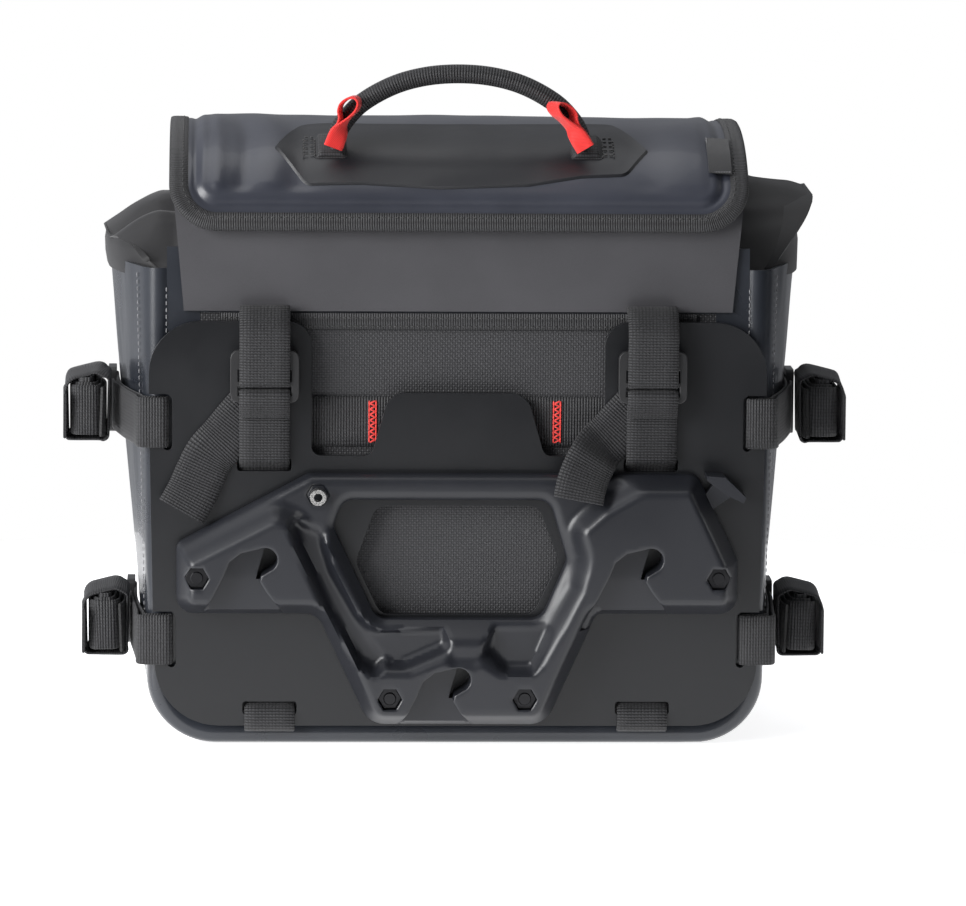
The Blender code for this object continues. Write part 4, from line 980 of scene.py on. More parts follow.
def lid_relief(x, s):
    """Swelling and folds of the lid's panel inside its welded border."""
    rim = lid_rim(x, s, BINDING)
    rise = 1.7 * MM * float(eased((rim - 4 * MM) / (4.5 * MM)))
    rise -= 0.5 * MM * math.exp(-(((rim - 3.6 * MM) / (1.2 * MM)) ** 2))
    inner = float(eased((rim - 9 * MM) / (6 * MM)))
    fade = float(eased((140 * MM - s) / (60 * MM)))

    def ridge(centre, width, height):
        return height * math.exp(-(((x - centre) / width) ** 2))

    bow = 6 * MM * math.sin(s / (60 * MM) * 1.7)
    folds = ridge(-121 * MM + 0.3 * bow, 4.5 * MM, 1.1 * MM) - ridge(-111 * MM + bow, 4.5 * MM, 1.2 * MM)
    folds += ridge(-97 * MM + bow, 8 * MM, 1.5 * MM) - ridge(-84 * MM + 1.2 * bow, 7 * MM, 0.8 * MM)
    folds += ridge(112 * MM, 16 * MM, 0.7 * MM) - ridge(96 * MM, 9 * MM, 0.5 * MM)
    low = math.exp(-(((s - 17 * MM) / (6 * MM)) ** 2)) * 0.9 * MM * ripple(x * 32, 2.0, 5.0)
    cloudy = 1.1 * MM * ripple(x * 14, s * 20, 1.0) + 0.5 * MM * ripple(x * 40, s * 30, 6.0)
    return rise + inner * (fade * (folds + low) + cloudy * 0.8)


def build_lid():
    """Lid panel, sewn to the front wall along its hem, and everything that rides on it."""
    made = finishes()
    inset, stop = 8.4 * MM, LID_LENGTH - 0.5 * MM
    rows = []
    for v in np.linspace(0, 1, 110) ** 1.25:
        s = LID_START + inset + 0.05 * MM + (stop - inset - LID_START) * v
        half = lid_half(s, inset)
        row = []
        for u in np.sin(np.linspace(-1, 1, 130) * math.pi / 2):
            x = u * half
            row.append(on_lid(x, s, lid_relief(x, s)))
        rows.append(row)
    for y, z in ((88.9, 266.2), (89.2, 263.5), (89.1, 260), (88.7, 256)):
        rows.append([Vector((at.x * (1 - 0.0002 * (268 - z)), y * MM, z * MM)) for at in rows[-1]])
    flap = sheet_piece(
        "lid_panel", rows, 2.0 * MM, made["lid"], (0, 0, 150 * MM), body=None, stands_for=["lid_flap"],
        slot="tarpaulin",
    )
    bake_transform(flap)
    hem = [([(x, 89.6 * MM, 260 * MM) for x in np.linspace(-132 * MM, 132 * MM, 30)], (0, 1, 0))]
    stitches("hem_stitches", hem, made["thread"], 2.2 * MM, 3.4 * MM, 0.33 * MM, slot="tarpaulin")
    build_lid_binding(made)
    build_storm_panel(made)
    build_handle_patch(made)
    build_label(made)
    build_hook_tapes(made)


def edge_route(stop, step=1.6 * MM, turn_steps=24):
    """Along the lid's outline from the left seam to the right: (x, s, inward x, inward s)."""
    straight = stop - LID_CORNER
    count = int(straight / step)
    left = [(-LID_HALF, stop - straight * k / count, 1.0, 0.0) for k in range(count)]
    centre = LID_HALF - LID_CORNER
    for k in range(turn_steps):
        turn = math.pi / 2 * k / turn_steps
        in_x, in_s = math.cos(turn), math.sin(turn)
        left.append((-centre - LID_CORNER * in_x, LID_CORNER * (1 - in_s), in_x, in_s))
    flat = int(2 * centre / step)
    route = left + [(-centre + 2 * centre * k / flat, 0.0, 0.0, 1.0) for k in range(flat + 1)]
    route += [(-x, s, -in_x, in_s) for x, s, in_x, in_s in reversed(left)]
    shifts = [LID_START * float(eased(1 - (s - 60 * MM) / (90 * MM))) for _, s, _, _ in route]
    return [(x, s + shift, in_x, in_s) for (x, s, in_x, in_s), shift in zip(route, shifts)]


def build_lid_binding(made):
    """Ribbed tape folded round the lid's edge, with a line of stitches."""
    section = [(9.2, -0.4), (9.2, 0.35), (8.3, 0.75), (6, 0.95), (3, 1.0), (1.2, 0.85), (0.2, 0.3), (0, -0.7)]
    section += [(0.2, -1.8), (1.2, -2.6), (3, -2.9), (6, -2.9), (8.3, -2.8), (9.2, -2.5)]
    route = edge_route(LID_LENGTH - 1 * MM)
    points, maps, run = [], [], 0.0
    for k, (x, s, in_x, in_s) in enumerate(route):
        if k:
            run += (on_lid(x, s) - on_lid(*route[k - 1][:2])).length
        wave = 0.25 * MM * ripple(run * 60, 3.0, 1.0)
        for a, lift in section:
            at = a * MM
            points.append(on_lid(x + in_x * at, s + in_s * at, lift * MM + wave))
            maps.append((at if lift > -0.7 else -at, run))
    tape = piece(
        "lid_binding_tape", points, tube_faces(len(route), len(section)), made["binding"], body=None,
        stands_for=["lid_binding"], slot="webbing", maps=maps, crease=60,
    )
    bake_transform(tape)
    seam = [(x + in_x * 6.9 * MM, s + in_s * 6.9 * MM) for x, s, in_x, in_s in route[4:-4]]
    lines, part_length = [], 12
    for first in range(0, len(seam) - 1, part_length):
        part = seam[first : first + part_length + 1]
        middle = part[len(part) // 2][1]
        lines.append(([on_lid(x, s, 1.0 * MM) for x, s in part], out_of_lid(middle)))
    stitches(
        "binding_stitches", lines, made["dark_thread"], 2.0 * MM, 2.9 * MM, 0.3 * MM, body="lid",
        slot="webbing",
    )


def storm_route():
    """The storm panel's middle in Y and Z: flat on the back wall, then close under the lid."""
    flat = LAYER_IN - 0.8 * MM
    below = 2.4 * MM + 4 * GAP + 2 * MM + 0.8 * MM
    under = [on_lid(0, s * MM, -below) for s in (8, 16, 25, 34)]
    route = [(flat, 218 * MM), (flat, 230 * MM), (flat, 242 * MM), *((p.y, p.z) for p in under)]
    return smooth_path(route, 2.2 * MM)


def build_storm_panel(made):
    """Matt panel that rises from the back wall to under the lid, and the tape sewn over its foot."""
    route = storm_route()
    rows = []
    for k, (y, z) in enumerate(route):
        v = k / (len(route) - 1)
        half = 142 * MM - 6 * MM * (1 - v)
        slack = float(eased(v / 0.2)) * float(eased((0.62 - v) / 0.25))
        row = []
        for u in np.linspace(-1, 1, 90):
            puff = slack * (0.9 * MM * (1 - u * u) + 0.5 * MM * ripple(u * 4, z * 25, 8.0))
            row.append((u * half, y - 0.8 * MM - puff, z))
        rows.append(row)
    panel = sheet_piece(
        "storm_flap", rows, 1.2 * MM, made["matt"], (0, 0, 200 * MM), stands_for=["storm_panel"],
        slot="matt_fabric",
    )
    low = LAYER_IN - WEB
    foot, middle, raised = 209 * MM, 213 * MM, 3.6 * MM
    xs = np.linspace(-118, 118, 60) * MM
    zs = (foot, 209.5 * MM, middle, 216.5 * MM, 217 * MM)
    binding = [[(x, low - 0.25 * MM * (abs(z - middle) < raised), z) for x in xs] for z in zs]
    sheet_piece(
        "panel_binding", binding, WEB, made["binding"], (0, 0, 0.2), stands_for=["back_binding"],
        slot="webbing", maps=[(z - foot, x) for z in zs for x in xs],
    )
    ends = (-117 * MM, 117 * MM)
    lines = [([(x, low - 0.3 * MM, z) for x in ends], (0, -1, 0)) for z in (210.6 * MM, 214.8 * MM)]
    stitches("panel_stitches", lines, made["dark_thread"], 1.9 * MM, 2.8 * MM, 0.3 * MM, slot="webbing")


def mapped_relief(name, outline, height, step, lift, finish, **more):
    """A raised shape laid over the lid. Height gives its rise at points (x, s)."""
    points, faces = filled_panel(outline, step, (0.4 * MM, 1.0 * MM))
    rise = height(points)
    top = [on_lid(x, s, lift + h) for (x, s), h in zip(points, rise)]
    bottom = [on_lid(x, s, lift + h - 1.8 * MM) for (x, s), h in zip(points, rise)]
    skin = closed_skin(faces, len(points))
    return piece(name, [*top, *bottom], skin, finish, closed=True, maps=[*points, *points], **more)


def relief_under(points):
    """Relief of the lid panel at points (x, s)."""
    return np.array([lid_relief(x, s) for x, s in points])


def build_handle_patch(made):
    """Pointed patch welded on the lid, with the box stitches beside the handle's feet."""
    corners = [(-91.5, 49, 3), (-76, 25, 7), (-48, 25.5, 10), (-10, 23, 14), (34, 25, 14), (60, 29.5, 10)]
    corners += [(83, 31, 7), (94.5, 49, 3), (78, 83, 7), (-78, 83, 7)]
    outline = rounded([(x * MM, s * MM, r * MM) for x, s, r in corners], 6)

    def height(points):
        rim = reach_to(points, outline)
        lips = 0.5 * MM * np.exp(-(((rim - 1.6 * MM) / (0.9 * MM)) ** 2))
        puff = np.array([0.5 * MM * ripple(x * 22, s * 22, 3.0) for x, s in points])
        return 0.9 * MM * eased(rim / (1.0 * MM)) + lips + puff * eased(rim / (8 * MM)) + relief_under(points)

    patch = mapped_relief(
        "handle_patch_weld", outline, height, 3.2 * MM, 0.0, made["patch"], body="lid",
        stands_for=["handle_patch"], slot="tarpaulin",
    )
    lines = []
    for side in (-1, 1):
        xs = [side * x * MM for x in (71.5, 77)]
        for s in (44, 48, 52, 56, 60):
            lines.append(([on_lid(x, s * MM, 3.2 * MM) for x in xs], out_of_lid(s * MM)))
        for x in xs:
            for s in (46, 54):
                ends = [on_lid(x, (s + d) * MM, 3.2 * MM) for d in (-4, 4)]
                lines.append((ends, out_of_lid(s * MM)))
    stitches(
        "patch_stitches", lines, made["dark_thread"], 1.8 * MM, 2.4 * MM, 0.35 * MM, body="lid",
        slot="tarpaulin",
    )


def build_label(made):
    """Blank sewn-in label at the right edge."""
    rows, maps = [], []
    for s in np.linspace(32, 62, 24) * MM:
        curl = float(eased((s - 30 * MM) / (14 * MM)))
        row = []
        for u in np.linspace(0, 1, 8):
            x = (123.5 + 11.5 * u) * MM
            lift = 2.4 * MM + (1 - u) * (1.6 - 0.9 * curl) * MM + 0.3 * MM * ripple(s * 80, u)
            row.append(on_lid(x, s, lift))
            maps.append((x, s))
        rows.append(row)
    sheet_piece(
        "side_flag", rows, 0.5 * MM, made["label"], (0, 0, 0.15), body="lid", stands_for=["side_label"],
        slot="webbing", maps=maps,
    )
    edges = [([on_lid(123.9 * MM, s * MM, 3.6 * MM) for s in (33, 61)], out_of_lid(47 * MM))]
    edges.append(([on_lid(x * MM, 32.6 * MM, 3.4 * MM) for x in (124, 134.5)], out_of_lid(33 * MM)))
    stitches("flag_edges", edges, made["thread"], 1.1 * MM, 1.2 * MM, 0.22 * MM, body="lid", slot="webbing")


def build_hook_tapes(made):
    """Hook tape under the lid and loop tape on the storm panel below it."""
    for name, node, lift, body in (
        ("hook_tape", "lid_hook_tape", -2.7 * MM, "lid"),
        ("loop_tape", "storm_loop_tape", -4.0 * MM, "bag"),
    ):
        reaches, xs = np.linspace(12, 26, 12) * MM, np.linspace(-120, 120, 60) * MM
        rows = [[on_lid(x, s, lift) for x in xs] for s in reaches]
        sheet_piece(
            name, rows, 0.9 * MM, made["hooks"], (0, 0, 0.15), body=body, stands_for=[node], slot="webbing",
            maps=[(s, x) for s in reaches for x in xs],
        )


# ------------------------------------------------------------------ handle


def build_handle():
    """Webbing handle folded round a core, with its feet and pull tabs."""
    made = finishes()
    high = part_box("handle_grip")[1]
    y, base = HANDLE_ROOT[1], 300.7 * MM
    crown = high.z - 4.7 * MM - base
    half = [(-62, -4), (-61, 2), (-57, 10), (-48, 19.5), (-33, 28), (-17, 32.6), (0, 34)]
    route = [(x * MM, y, base + z * MM * crown / (34 * MM)) for x, z in half]
    route += [(-x, py, z) for x, py, z in reversed(route[:-1])]
    path = smooth_path(route, 1.6 * MM)
    along, run = directions(path), distances(path)
    wide, tall, sides = 5.9 * MM, 4.5 * MM, 20
    section = []
    for k in range(sides):
        turn = 2 * math.pi * k / sides
        c, s = math.cos(turn), math.sin(turn)
        section.append((wide * math.copysign(abs(c) ** 0.8, c), tall * math.copysign(abs(s) ** 0.8, s)))
    points, maps = [], []
    for k, at in enumerate(path):
        up = np.cross(along[k], (0, 1, 0))
        up /= np.linalg.norm(up)
        up *= -1 if up[2] < 0 and abs(path[k][0]) < 40 * MM else 1
        edge = 1 - 0.25 * max(0, 1 - min(run[k], run[-1] - run[k]) / (9 * MM))
        girth = 0.0
        for n, (a, b) in enumerate(section):
            if n:
                girth += math.hypot(a - section[n - 1][0], b - section[n - 1][1])
            bead = 1 + 0.05 * math.cos(4 * 2 * math.pi * n / sides)
            spot = at + np.array((0, a, 0)) * bead * edge + up * b * bead * edge
            points.append(spot)
            maps.append((girth, run[k]))
    grip = piece(
        "webbing_handle", points, tube_faces(len(path), len(section)), made["webbing"], body=None,
        stands_for=["handle_grip"], slot="webbing", maps=maps, crease=60,
    )
    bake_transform(grip)
    seam = [(p[0], y - 5.75 * MM, p[2]) for p in path if abs(p[0]) < 56 * MM]
    stitches(
        "handle_stitches", [(seam, (0, -1, 0))], made["dark_thread"], 2.1 * MM, 3 * MM, 0.32 * MM,
        body="handle", slot="webbing",
    )
    for name, side in (("left", -1), ("right", 1)):
        build_handle_foot(made, name, side)
        build_pull_tab(made, name, side)


def build_handle_foot(made, name, side):
    """Ribbed webbing foot sewn on the patch under each end of the handle."""
    outline = rounded([(x * MM, s * MM, 2.2 * MM) for x, s in ((-8, 41), (8, 41), (8, 60), (-8, 60))], 4)
    outline = [(x + side * 63.5 * MM, s) for x, s in outline]

    def height(points):
        rim = reach_to(points, outline)
        swell_up = 3.6 * MM * eased(rim / (2.6 * MM)) - 1.2 * MM * eased((52 * MM - points[:, 1]) / (14 * MM))
        ribs = 0.5 * MM * np.abs(np.sin(points[:, 1] / (2.3 * MM) * math.pi))
        return relief_under(points) + np.maximum(swell_up, 0.5 * MM) + ribs * eased(rim / (1.5 * MM))

    mapped_relief(f"handle_foot_{name}", outline, height, 1.2 * MM, 0.8 * MM, made["keeper"], body="lid",
                  stands_for=[f"handle_anchor_{name}"], slot="webbing")


def build_pull_tab(made, name, side):
    """Red tape loop that leans against the handle's root."""
    foot = Vector((side * 62.5 * MM, -82.5 * MM, 298.5 * MM))
    lean = Vector((-side * (0.38 if side < 0 else 0.62), 0.05, 1)).normalized()
    shape = [(0.4, 0), (0.5, 4), (0.5, 9), (0.9, 13), (2.6, 17), (4.6, 21), (4.4, 25), (1.6, 27.8)]
    shape += [(-1.6, 27.4), (-4.0, 24.5), (-3.8, 20.5), (-1.9, 16.5), (-0.8, 13), (-0.8, 9), (-0.8, 4)]
    shape.append((-0.8, 0))
    path = []
    for p, h in shape:
        turn = math.radians(12 + (66 if side < 0 else 44) * float(eased((h - 5) / 12)))
        open_way = Vector((-side * math.sin(turn), -math.cos(turn), 0))
        path.append(tuple(foot + lean * (h * 0.96 * MM) + open_way * (p * MM)) + (turn,))
    path = smooth_path(path, 0.8 * MM)
    across = [(math.cos(t), -side * math.sin(t), 0) for t in path[:, 3]]
    loop = band(f"pull_tab_{name}", path[:, :3], across, 9.5 * MM, 1.2 * MM, made["red"], body=None,
                stands_for=[f"red_tab_{name}"], slot="red_tape")
    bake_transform(loop)


# ------------------------------------------------------------------ plate and bracket


def build_plate():
    made, hardware = finishes(), bpy.context.scene.pannier_hardware
    softened_copy("coated_plate", "adapter_plate", made["plate"], hardware.edge, "bag", 3)


ARM_SEATS = [(-95.5 * MM, 97 * MM), (95.5 * MM, 97 * MM), (0.5 * MM, 37 * MM)]
BOLTS = [(-129.3 * MM, 87.5 * MM), (-33.5 * MM, 27 * MM), (129.3 * MM, 87.5 * MM), (33.5 * MM, 27 * MM)]


def scaled(points):
    return [(x * MM, z * MM) for x, z in points]


def bracket_outline():
    corners = [(-139.5, 103, 5), (-139.5, 68, 9), (-69.5, 68, 10), (-43.5, 12.2, 12), (44.5, 12.2, 12)]
    corners += [(69.5, 68, 4), (139.5, 68, 9), (139.5, 95, 5), (119, 138, 7), (-74, 138, 7)]
    return rounded([(x * MM, z * MM, r * MM) for x, z, r in corners], 6)


def bracket_window():
    corners = [(-57, 125.5), (-62, 112), (-40, 65.5), (42, 65.5), (54.5, 95), (45.5, 125.5)]
    return rounded([(x * MM, z * MM, 8 * MM) for x, z in corners], 6)


def funnel(spare=0.0):
    """The way into a pin seat, about the seat's middle."""
    rim = arc((0, 0), 6 * MM + spare, -65, 100, 12)
    left = [(-12, 3.4), (-17.7, -1.1), (-20.5, -8), (-26.2, -19.3), (-35, -36)]
    right = [(13, -36), (6.8, -24.2), (0.5, -16), (-2.6, -10.8), (-1.9, -8.2)]
    return scaled(right) + rim + scaled(left)


def throat():
    """The slot through the floor of a funnel."""
    rim = arc((0, 0), 6 * MM, -65, 90, 12)
    return scaled([(-2.6, -10.8), (-1.9, -8.2)]) + rim + scaled([(-3.5, -6.2), (-4.6, -10.8)])


# Height, width of the flank outside the shape, and the shape, in millimetres
RELIEF = [
    (19, 11, [(-136.5, 89), (-133.6, 92), (-90, 114.5), (-82.5, 111), (-77, 101), (-61, 63), (-47, 43),
              (-39, 38.6), (-23, 38.6), (-3.5, 46.5), (7.5, 46), (20.5, 38), (36.2, 38), (43.8, 43),
              (63.8, 80), (67, 98), (64, 110), (74, 119), (98, 133), (119, 134), (124, 128), (139, 92),
              (139, 80), (134, 75), (101, 74), (69, 74), (57, 56), (43, 21.7), (38, 16.7), (-36, 16.7),
              (-43, 21.7), (-63, 65), (-71, 74), (-124, 74), (-136.5, 76)]),
    (7, 5, [(-80, 113), (-71, 108), (-64, 89), (-51, 64), (-38, 47), (-41, 43), (-47, 46), (-61, 70),
            (-74, 98)]),
    (13, 5, [(-66, 112), (-60, 92), (-48, 70), (-38, 62), (-2, 61), (-4, 66), (-36, 67), (-44, 74),
             (-60, 106)]),
    (8, 4, [(-43, 58), (-6, 60), (-5, 56), (-28, 45.5), (-33, 45.5)]),
    (8, 4, [(18, 60), (43, 61), (36, 43), (25, 43), (18, 51)]),
    (17, 5, [(-3.5, 64), (15.5, 64), (9, 47), (-2, 47)]),
]


def bracket_height(points, outline, window, base):
    height = np.full(len(points), base)
    for top, flank, shape in RELIEF:
        loop = softened(scaled(shape), 2.2 * MM, 4) if top > 9 else scaled(shape)
        share = eased(1 + depth_in(points, loop) / (flank * MM))
        height = height + (top * MM - height) * share
    edge = np.maximum(depth_in(points, outline), 0)
    ramp = 4.5 * MM + 2.0 * edge
    rim = np.abs(np.minimum(depth_in(points, window), 0))
    well = 6.5 * MM + 1.1 * rim
    for limit in (ramp, well):
        blur = 2.2 * MM
        mixed = np.clip(0.5 + 0.5 * (height - limit) / blur, 0, 1)
        height = height * (1 - mixed) + limit * mixed - blur * mixed * (1 - mixed)
    return height


def build_bracket():
    """The moulded bracket: a thin shell with raised arms, pin funnels and nut pockets."""
    made, base = finishes(), bpy.context.scene.pannier_hardware.base_relief
    outline, window = bracket_outline(), bracket_window()
    funnels = [moved(funnel(), x, z) for x, z in ARM_SEATS]
    throats = [moved(throat(), x, z) for x, z in ARM_SEATS]
    pockets = [hexagon(place, 10.6 * MM) for place in BOLTS]
    pockets.append(hexagon((-69.5 * MM, 128 * MM), 10 * MM))
    points, faces = filled(outline, [window, *funnels, *throats, *pockets], 1.7 * MM)
    centres = points[faces].mean(axis=1)
    keep = inside(centres, outline) & ~inside(centres, window)
    kind = np.zeros(len(faces), int)
    for loop in funnels:
        kind[inside(centres, loop)] = 1
    for loop in throats:
        keep &= ~inside(centres, loop)
    for loop in pockets:
        kind[inside(centres, loop)] = 2
    faces, kind = faces[keep], kind[keep]
    top = bracket_height(points, outline, window, base)
    crisp = np.min([reach_to(points, loop) for loop in (*funnels, *pockets)], axis=0)
    top -= 0.45 * MM * np.clip(1 - crisp / (0.8 * MM), 0, 1) ** 2
    floor, step_down = 10 * MM, 0.6 * MM
    slope = np.zeros(len(points))
    for _, z in ARM_SEATS:
        slope = np.maximum(slope, np.clip((z - 10 * MM - points[:, 1]) / (30 * MM), 0, 1) * 3 * MM)
    funnel_floor = np.minimum(floor - 0.4 * slope, top - step_down)
    pocket_floor = np.minimum(floor, top - step_down)
    levels = (top, funnel_floor, pocket_floor, np.zeros(len(points)))
    index, corners = {}, []

    def corner(point, level):
        key = (point, level)
        if key not in index:
            index[key] = len(corners)
            x, z = points[point]
            corners.append((x, BRACKET_BACK - levels[level][point], z))
        return index[key]

    skin, sides = [], {}
    for face, level in zip(faces.tolist(), kind.tolist()):
        skin.append(tuple(corner(p, level) for p in face))
        skin.append(tuple(corner(p, 3) for p in reversed(face)))
        for a, b in zip(face, face[1:] + face[:1]):
            sides[(a, b)] = level
    for (a, b), level in sides.items():
        other = sides.get((b, a), 3)
        if other == 3 or level < other:
            skin.append((corner(b, level), corner(a, level), corner(a, other), corner(b, other)))
    piece("bracket_moulding", corners, skin, made["bracket"], stands_for=["carrier_bracket"], slot="moulding",
          crease=48, closed=True)
    build_bracket_details(made)


def build_bracket_details(made):
    """Bolts, threaded insert, lock lever and its pin."""
    for name in ("arm_left", "foot_left", "arm_right", "foot_right"):
        node = f"plate_bolt_{name}"
        softened_copy(f"bolt_{name}", node, made["black_steel"], 0.5 * MM, "bag")
    softened_copy("insert_collar", "threaded_insert", made["silver"], 0.5 * MM, "bag", 3)
    softened_copy("lever_moulding", "lock_lever", made["bracket"], 0.7 * MM, "lever", 3)
    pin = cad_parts["lever_pin"]
    pin.data.materials.clear()
    pin.data.materials.append(made["silver"])
    points, faces = [], []
    for place in BOLTS:
        rings = [(2.9, 11.5), (2.9, 13.6), (2.2, 14.2), (1.5, 14.2), (1.3, 13.4), (0.05, 13.4)]
        start, around = len(points), 24
        for radius, height in rings:
            circle = arc(place, radius * MM, 0, 345, around - 1)
            points += [(x, BRACKET_BACK - height * MM, z) for x, z in circle]
        faces += [tuple(start + k for k in face) for face in lattice_faces(len(rings), around, wrap=True)]
        faces.append(tuple(range(start + 5 * around, start + 6 * around)))
    piece("bolt_tips", points, faces, made["silver"], slot="steel")


# ------------------------------------------------------------------ straps

STRAP_X, LOOP_X = 96 * MM, 93 * MM
ANCHOR_Z, LOOP_Z = 142 * MM, 19.5 * MM
PLATE_TOP, PLATE_FOOT = 213.5 * MM, 10.5 * MM
BUCKLE_TOP, BUCKLE_TALL, BUCKLE_DEEP = 200 * MM, 26 * MM, 5 * MM


def spread(points):
    """Points in Y and Z as points in space, at X = 0."""
    return [(0.0, y, z) for y, z in points]


def build_upright_straps():
    made, web = finishes(), bpy.context.scene.pannier_webbing
    back_run = LAYER_OUT - WEB / 2
    tail_run = PLATE_FRONT - GAP - WEB / 2
    anchor_run = tail_run - WEB - 2 * GAP
    buckle_back = anchor_run - WEB / 2 - GAP
    over_run = buckle_back - BUCKLE_DEEP - GAP - WEB / 2
    bar = BUCKLE_TOP - BUCKLE_TALL
    over = [(back_run, 193.5), (back_run, 214.5), (back_run - 0.5 * MM, 218)]
    over = [(y, z * MM) for y, z in over]
    over += [
        ((back_run + tail_run) / 2, PLATE_TOP + 7.2 * MM), (tail_run - 3 * MM, PLATE_TOP + 4.5 * MM),
        (over_run, PLATE_TOP - 4 * MM), (over_run - 0.3 * MM, BUCKLE_TOP - 1 * MM),
        (over_run - 0.2 * MM, bar + 13 * MM), (over_run + 0.2 * MM, bar + 9.7 * MM),
        (over_run + 1.9 * MM, bar + 8.1 * MM), (buckle_back - 1 * MM, bar + 7.6 * MM),
    ]
    anchor = [
        (back_run, ANCHOR_Z - 16 * MM), (back_run, ANCHOR_Z - 4.8 * MM),
        (PLATE_BACK - GAP, ANCHOR_Z - 1.2 * MM),
        (PLATE_FRONT + GAP, ANCHOR_Z + 0.8 * MM), (anchor_run + 0.3 * MM, ANCHOR_Z + 2.6 * MM),
        (anchor_run, ANCHOR_Z + 6 * MM), (anchor_run, ANCHOR_Z + 20 * MM), (anchor_run, bar + 2 * MM),
        (anchor_run - 0.6 * MM, bar + 4.6 * MM), (buckle_back - BUCKLE_DEEP / 2, bar + 6.0 * MM),
        (over_run + 0.2 * MM, bar + 4.9 * MM), (over_run, bar + 1 * MM), (over_run + 1.6 * MM, bar - 3 * MM),
        (anchor_run - WEB - 2 * GAP, bar - 7.5 * MM),
    ]
    loop = [
        (back_run, LOOP_Z + 16 * MM), (back_run, LOOP_Z + 4.6 * MM), (PLATE_BACK - GAP, LOOP_Z + 1 * MM),
        (PLATE_FRONT + GAP, LOOP_Z - 0.4 * MM), (tail_run, LOOP_Z - 3.6 * MM), (tail_run, PLATE_FOOT),
        ((PLATE_BACK + PLATE_FRONT) / 2, PLATE_FOOT - 2.4 * MM), (back_run, PLATE_FOOT),
        (back_run, LOOP_Z - 4 * MM),
    ]
    left = [(-2, 0, 34), (-11, 0, 24), (-20, 0, 13), (-27, 0, 5), (-32, 0.8, -5), (-36, 2, -14)]
    left.append((-41, 3.4, -23))
    right = [(-2, 0, 34), (-10, 0, 26), (-19, 0, 16), (-23.5, 0.8, 11.7), (-26.4, 4, 9), (-29, 8.6, 5.5)]
    right += [(-32, 11, 0.5), (-34.5, 14, -5), (-36, 16.6, -10), (-37, 18.4, -15)]
    for name, side, tail in (("left", -1, left), ("right", 1, right)):
        shift = np.array((side * STRAP_X, 0, 0))
        tail_path = smooth_path([(a * MM, tail_run - lift * MM, ANCHOR_Z + up * MM) for a, lift, up in tail])
        tail_across = np.cross((0, 1, 0), np.gradient(tail_path + shift, axis=0))
        for kind, node, path, across in (
            ("upright_webbing", "upright_strap", smooth_path(spread(over)) + shift, (1, 0, 0)),
            ("anchor_webbing", "buckle_anchor", smooth_path(spread(anchor)) + shift, (1, 0, 0)),
            ("tail_webbing", "strap_tail", tail_path + shift, tail_across),
            ("foot_loop", "lower_loop", smooth_path(spread(loop)) + (side * LOOP_X, 0, 0), (1, 0, 0)),
        ):
            band(
                f"{kind}_{name}", path, across, web.width, web.thickness, made["webbing"],
                stands_for=[f"{node}_{name}"], slot="webbing",
            )
        buckle = f"ladder_buckle_{name}"
        softened_copy(f"buckle_frame_{name}", buckle, made["buckle"], 1.5 * MM, "bag", 4)


def build_pocket_trim():
    """Webbing across the back wall with its two red bartacks."""
    made = finishes()
    low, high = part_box("pocket_webbing")
    middle = (low + high) / 2
    path = [(x, middle.y, middle.z) for x in np.linspace(low.x, high.x, 80)]
    band("pocket_band", path, (0, 0, 1), high.z - low.z, WEB, made["webbing"], stands_for=["pocket_webbing"],
         slot="webbing")
    for name in ("left", "right"):
        low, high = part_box(f"red_bartack_{name}")
        x, y = (low.x + high.x) / 2 + (4.2 if name == "left" else 2.8) * MM, high.y - 0.1 * MM
        count = 15
        zigzag = []
        for k in range(count + 1):
            z = low.z + (high.z - low.z) * k / count
            zigzag.append((x + (1.5 if k % 2 else -1.5) * MM, y, z))
        sides = [[(x + a * MM, y, z) for z in (low.z, high.z)] for a in (-1.7, 1.7)]
        lines = [([zigzag[k], zigzag[k + 1]], (0, -1, 0)) for k in range(count)]
        lines += [(side, (0, -1, 0)) for side in sides]
        stitches(f"bartack_{name}", lines, made["red_thread"], 3.4 * MM, 2.9 * MM, 0.42 * MM,
                 stands_for=[f"red_bartack_{name}"], slot="red_tape")


def side_wall(y, z):
    return HALF_BACK + swell(y, z)


def build_side_straps():
    """Straps round the plate's side edges, with their ends rolled up in keeper bands."""
    for name, side in (("left", -1), ("right", 1)):
        for level_name, level in (("upper", 163 * MM), ("lower", 54 * MM)):
            build_side_strap(f"{level_name}_{name}", side, level)


def plate_half(z):
    return HALF_BACK - 0.8 * MM - 3 * MM * min(max((150 * MM - z) / (140 * MM), 0), 1)


